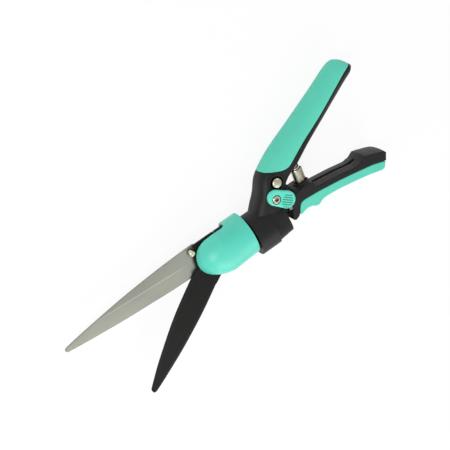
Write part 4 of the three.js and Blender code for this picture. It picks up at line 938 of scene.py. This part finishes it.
# The frame's top stands higher by crown in the middle, and slopes down from there to both sides.
def crownedFrame():
    top, rest = np.array(lever["top"]), np.array(lever["parting"] + lever["toe"])
    half, crown, crownHalf = lever["half"], lever["crown"], lever["crownHalf"]
    levels = ((0, -half), (crown, -crownHalf), (crown, crownHalf), (0, half))
    return ringBody("leverFrame", stacked([(np.vstack([top - [0, rise], rest]), z) for rise, z in levels]))


# The frame with its web round the rivet and the rim of the spring's socket, less the long groove, the
# room between the fork's cheeks and the socket.
def leverFrame():
    body = crownedFrame()
    web = np.vstack([arcPoints(leverAxis, lever["webRadius"], 0, -np.pi), lever["webRest"]])
    union(body, plate("web", web, -lever["web"], lever["web"]), turnedOnSpring("mouth", lever["mouth"]))
    half, radius = lever["grooveHalf"], spring["socket"]
    high, low = springLength - lever["socketRise"], springLength + spring["depth"]
    cut(body, plate("groove", lever["groove"], -half, half),
        turned("grooveEnd", bar(-6, 6, half), lever["grooveEnd"], (0, 1, 0)),
        plate("fork", lever["forkRoom"], -lever["fork"], lever["fork"]),
        post("rivetHole", leverAxis, handle["rivetHole"], -20, 20),
        post("pinHole", rodPinAt, *lever["pinHole"]),
        turnedOnSpring("socket", [[high, 0], [high, radius], [low, radius - lever["socketTaper"]], [low, 0]]))
    moulded(body, lever["cell"], lever["softness"])
    return finished(body, blackCore, "lever", "core_black", "lever_frame")


# A plate between the parting and the underside, softened until its edges are round.
def leverGrip():
    upper = [[x, y + lever["partingGap"]] for x, y in lever["parting"]]
    pad = plate("leverGrip", upper + lever["underside"], -lever["half"], lever["half"])
    moulded(pad, lever["cell"], lever["padSoftness"])
    return finished(pad, mintGrip, "lever", "grip_mint", "lever_grip")


leverFrame()
leverGrip()
print("lever made")

# Latch: a rounded mint thumb piece with grooves, turned by a screw sunk in it. Foot and brow are pairs
# of how far the outline is drawn in and where, from the bottom and from the top.
latch = {"lobe": (-9, 6.2), "front": (0.2, -1.9), "frontRadius": 7.1, "thumbRadius": 7.9, "bottom": 15.1,
         "thickness": 3.5, "foot": ((0.4, 0), (0, 0.4)),
         "brow": ((0, -1.3), (0.35, -0.6), (0.95, -0.15), (1.7, 0)),
         "grooves": 6, "spacing": 2.1, "slant": -0.08, "grooveNear": (5.8, 0.3), "grooveFar": (5.6, 0.26),
         "grooveRadius": 0.56, "grooveTaper": 1, "grooveSink": 0.25, "well": 4.2, "wellFloor": 0.9,
         "hole": 2.3, "boss": (5, 14.95), "peg": (1.3, 8.2), "pegReach": 17, "pegTurn": 0.06,
         "cell": 0.18, "softness": 3}


# The outline is the band that holds two circles: it leaves each one where the tangents touch.
def roundedBand(start, end, startRadius, endRadius):
    apart, heading = polar(np.subtract(end, start))
    lean = np.arccos((startRadius - endRadius) / apart)
    return np.vstack([arcPoints(start, startRadius, heading + lean, heading - lean + 2 * np.pi, 60),
                      arcPoints(end, endRadius, heading - lean, heading + lean, 60)])


# The band drawn in by levels, with boss and peg under it. Each groove is a bar with pointed ends along
# the latch, and the grooves at the sides are shorter by the square of their row.
def latchPiece():
    front, thumb = np.add(latchAxis, latch["front"]), np.add(latchAxis, latch["lobe"])
    bottom, top = latch["bottom"], latch["bottom"] + latch["thickness"]
    outline = roundedBand(front, thumb, latch["frontRadius"], latch["thumbRadius"])
    levels = [(inset, bottom + rise) for inset, rise in latch["foot"]]
    levels += [(inset, top + rise) for inset, rise in latch["brow"]]
    body = ringBody("thumbLatch", stacked([(drawnIn(outline, inset), z) for inset, z in levels]))
    reach, heading = polar(latch["lobe"])
    pegPlace = np.add(latchAxis, latch["pegReach"] * towards(heading + latch["pegTurn"]))
    union(body, post("boss", latchAxis, *latch["boss"], bottom + 1),
          post("peg", pegPlace, *latch["peg"], bottom + 1))
    ahead = towards(heading + latch["slant"])
    aside = np.array([-ahead[1], ahead[0]])
    tools = [post("well", latchAxis, latch["well"], bottom + latch["wellFloor"], top + 1),
             post("hole", latchAxis, latch["hole"], 10, top + 1)]
    radius, taper = latch["grooveRadius"], latch["grooveTaper"]
    (near, nearBow), (far, farBow) = latch["grooveNear"], latch["grooveFar"]
    for i in range(latch["grooves"]):
        row = i - (latch["grooves"] - 1) / 2
        nearEnd, farEnd = reach - near + nearBow * row * row, reach + far - farBow * row * row
        half = (farEnd - nearEnd) / 2
        middle = np.add(latchAxis, ahead * (nearEnd + half) + aside * row * latch["spacing"])
        tools.append(turned("groove", [[-half, 0], [taper - half, radius], [half - taper, radius], [half, 0]],
                            (*middle, top - latch["grooveSink"]), (*ahead, 0), 32))
    cut(body, *tools)
    moulded(body, latch["cell"], latch["softness"])
    return finished(body, mintLatch, "latch", "grip_mint", "latch")


latchPiece()
print("latch made")

# Turned fasteners. Each profile is [height, radius] from the axis and back, upwards.
bladeRivet = [[-8.8, 0], [-8.8, 1.6], [-8.6, 2.5], [-7.95, 3.2], [-7.95, 1.8], [-0.2, 1.8], [-0.2, 0]]
turnings = {
    "lever_rivet": ("handle", leverAxis, [
        [-14.6, 0], [-14.6, 3.7], [-14.2, 4.4], [-13.9, 4.65], [-10.95, 4.65], [-10.95, 3], [10.95, 3],
        [10.95, 4.65], [14.6, 4.65], [15.2, 4.5], [15.75, 4.1], [16.05, 3.6], [16.2, 3], [16.25, 0]]),
    "latch_screw": ("handle", latchAxis, [
        [3, 0], [3, 1.5], [3.5, 2], [16.15, 2], [16.15, 3.6], [18.2, 3.6], [18.5, 3.45], [18.68, 3.15],
        [18.7, 2.8], [18.7, 0]]),
    "open_stop_pin": ("head", stopPin["place"], [
        [-4.05, 0], [-4.05, 2.6], [-3.55, 3.5], [-2.8, 3.5], [-2.8, 2.5], [5.5, 2.5], [5.95, 2.3], [6.2, 1.8],
        [6.2, 0]]),
    "pivot_bolt": ("head", (pivotX, 0), [
        [-15.2, 0], [-15.2, 2.4], [-14.6, 3], [2.8, 3], [2.8, 5], [5.5, 5], [6, 4.8], [6.2, 4.3], [6.2, 0]]),
    "blade_rivet_left": ("head", rivetPlaces[0], bladeRivet),
    "blade_rivet_right": ("head", rivetPlaces[1], bladeRivet),
    "rod_pin": ("lever", rodPinAt, [
        [-11, 0], [-11, 1.5], [-10.6, 1.95], [-10.4, 2], [10.4, 2], [10.6, 1.95], [11, 1.5], [11, 0]])}
fastenerSharpOver = 24
bright = ("lever_rivet", "latch_screw", "open_stop_pin", "pivot_bolt")
sockets = {"latch_screw": (1.9, 15.2), "pivot_bolt": (2.3, 4.3)}  # radius to the corners, floor


# A profile turned upright about its place; a socket is a hexagon cut down to its floor.
def turning(name, body, at, profile):
    piece = turned(name + "_visual", profile, (*at, 0), (0, 0, 1))
    if name in sockets:
        radius, floorZ = sockets[name]
        cut(piece, post("hexBit", at, radius, floorZ, beyond, 6))
    metal = (brightNickel, "bright_steel") if name in bright else (plainSteel, "plain_steel")
    return finished(creased(piece, fastenerSharpOver), metal[0], body, metal[1], name)


for name, (body, at, profile) in turnings.items():
    turning(name, body, at, profile)
print("fasteners made")

# Camera, lamps and floor.
cameraLook = {"seat": (163.0, -390.2, 762.6), "aim": (-24.9, -17.3, 0), "right": (-0.8019, 0.4345, 0.41),
              "lens": 80, "sensor": 36, "clip": (0.01, 20)}
seat, aim = Vector(cameraLook["seat"]), Vector(cameraLook["aim"])
forward = (aim - seat).normalized()
right = Vector(cameraLook["right"])
right = (right - forward * right.dot(forward)).normalized()
turnOfCamera = Matrix((right, right.cross(forward), -forward)).transposed().to_4x4()
cameraData = bpy.data.cameras.new("photoCamera")
cameraData.lens, cameraData.sensor_width = cameraLook["lens"], cameraLook["sensor"]
cameraData.clip_start, cameraData.clip_end = cameraLook["clip"]
camera = bpy.data.objects.new("photoCamera", cameraData)
camera.matrix_world = Matrix.Translation(inFrame(seat)) @ turnOfCamera
bpy.context.scene.collection.objects.link(camera)
bpy.context.scene.camera = camera


lampTarget = (-10, -20, 10)
lamps = {"overhead": ((512, -160, 723), 0.45, 3.7), "nearSide": ((60, 800, 560), 0.8, 5.4),
         "farSide": ((-900, -650, 350), 0.6, 2)}


# A square lamp of a size in metres and a power in watts, turned to the lamps' target.
def areaLamp(name, place, size, power):
    lampData = bpy.data.lights.new(name, "AREA")
    lampData.size, lampData.energy = size, power
    lamp = bpy.data.objects.new(name, lampData)
    there, target = Vector(inFrame(place)), Vector(inFrame(lampTarget))
    facing = (target - there).to_track_quat("-Z", "Y").to_matrix().to_4x4()
    lamp.matrix_world = Matrix.Translation(there) @ facing
    bpy.context.scene.collection.objects.link(lamp)


for name, (place, size, power) in lamps.items():
    areaLamp(name, place, size, power)


# The share of a ray that sees the studio as pure white: all of a camera or transmission ray, and the
# glossy share of a reflected one.
def seenDirectly(wire, glossy):
    camera, mirror, through = (wire.node("LightPath", output=name) for name in
                               ("Is Camera Ray", "Is Glossy Ray", "Is Transmission Ray"))
    direct = camera + mirror * glossy + through
    return direct.reckon("MINIMUM", direct, 1)


studio = {"ambient": 0.46, "mirror": 0.16, "floorMirror": 0.9, "floorGlow": 0.9,
          "floorReach": 3.0, "floorColour": (0.97, 0.97, 0.97, 1)}
world = bpy.data.worlds.new("paleStudio")
bpy.context.scene.world = world
world.use_nodes = True
worldWire = Wire(world.node_tree)
background = world.node_tree.nodes["Background"]
background.inputs["Color"].default_value = (1, 1, 1, 1)
strength = studio["ambient"] + seenDirectly(worldWire, studio["mirror"]) * (1 - studio["ambient"])
world.node_tree.links.new(strength.socket, background.inputs["Strength"])

floorMesh = bpy.data.meshes.new("floor")
reach = studio["floorReach"]
floorMesh.from_pydata([(-reach, -reach, 0), (reach, -reach, 0), (reach, reach, 0), (-reach, reach, 0)], [],
                      [(0, 1, 2, 3)])
floor = bpy.data.objects.new("floor", floorMesh)
bpy.context.scene.collection.objects.link(floor)
floorMaterial, floorWire, floorShader = newMaterial("paleFloor", {
    "Base Color": studio["floorColour"], "Roughness": 0.9, "Specular IOR Level": 0.1})
glow = floorWire.node("Emission", {}, {"Color": (1, 1, 1, 1), "Strength": 1.0})
surface = Wire(floorWire.tree, floorShader.outputs["BSDF"])
glowShare = seenDirectly(floorWire, studio["floorMirror"]) * studio["floorGlow"]
lit = floorWire.node("MixShader", {}, {0: glowShare, 1: surface, 2: glow})
floorWire.tree.links.new(lit.socket, floorWire.tree.nodes["Material Output"].inputs["Surface"])
floor.data.materials.append(floorMaterial)
bpy.context.scene.view_settings.view_transform = "Standard"
print("camera, lamps and floor placed")
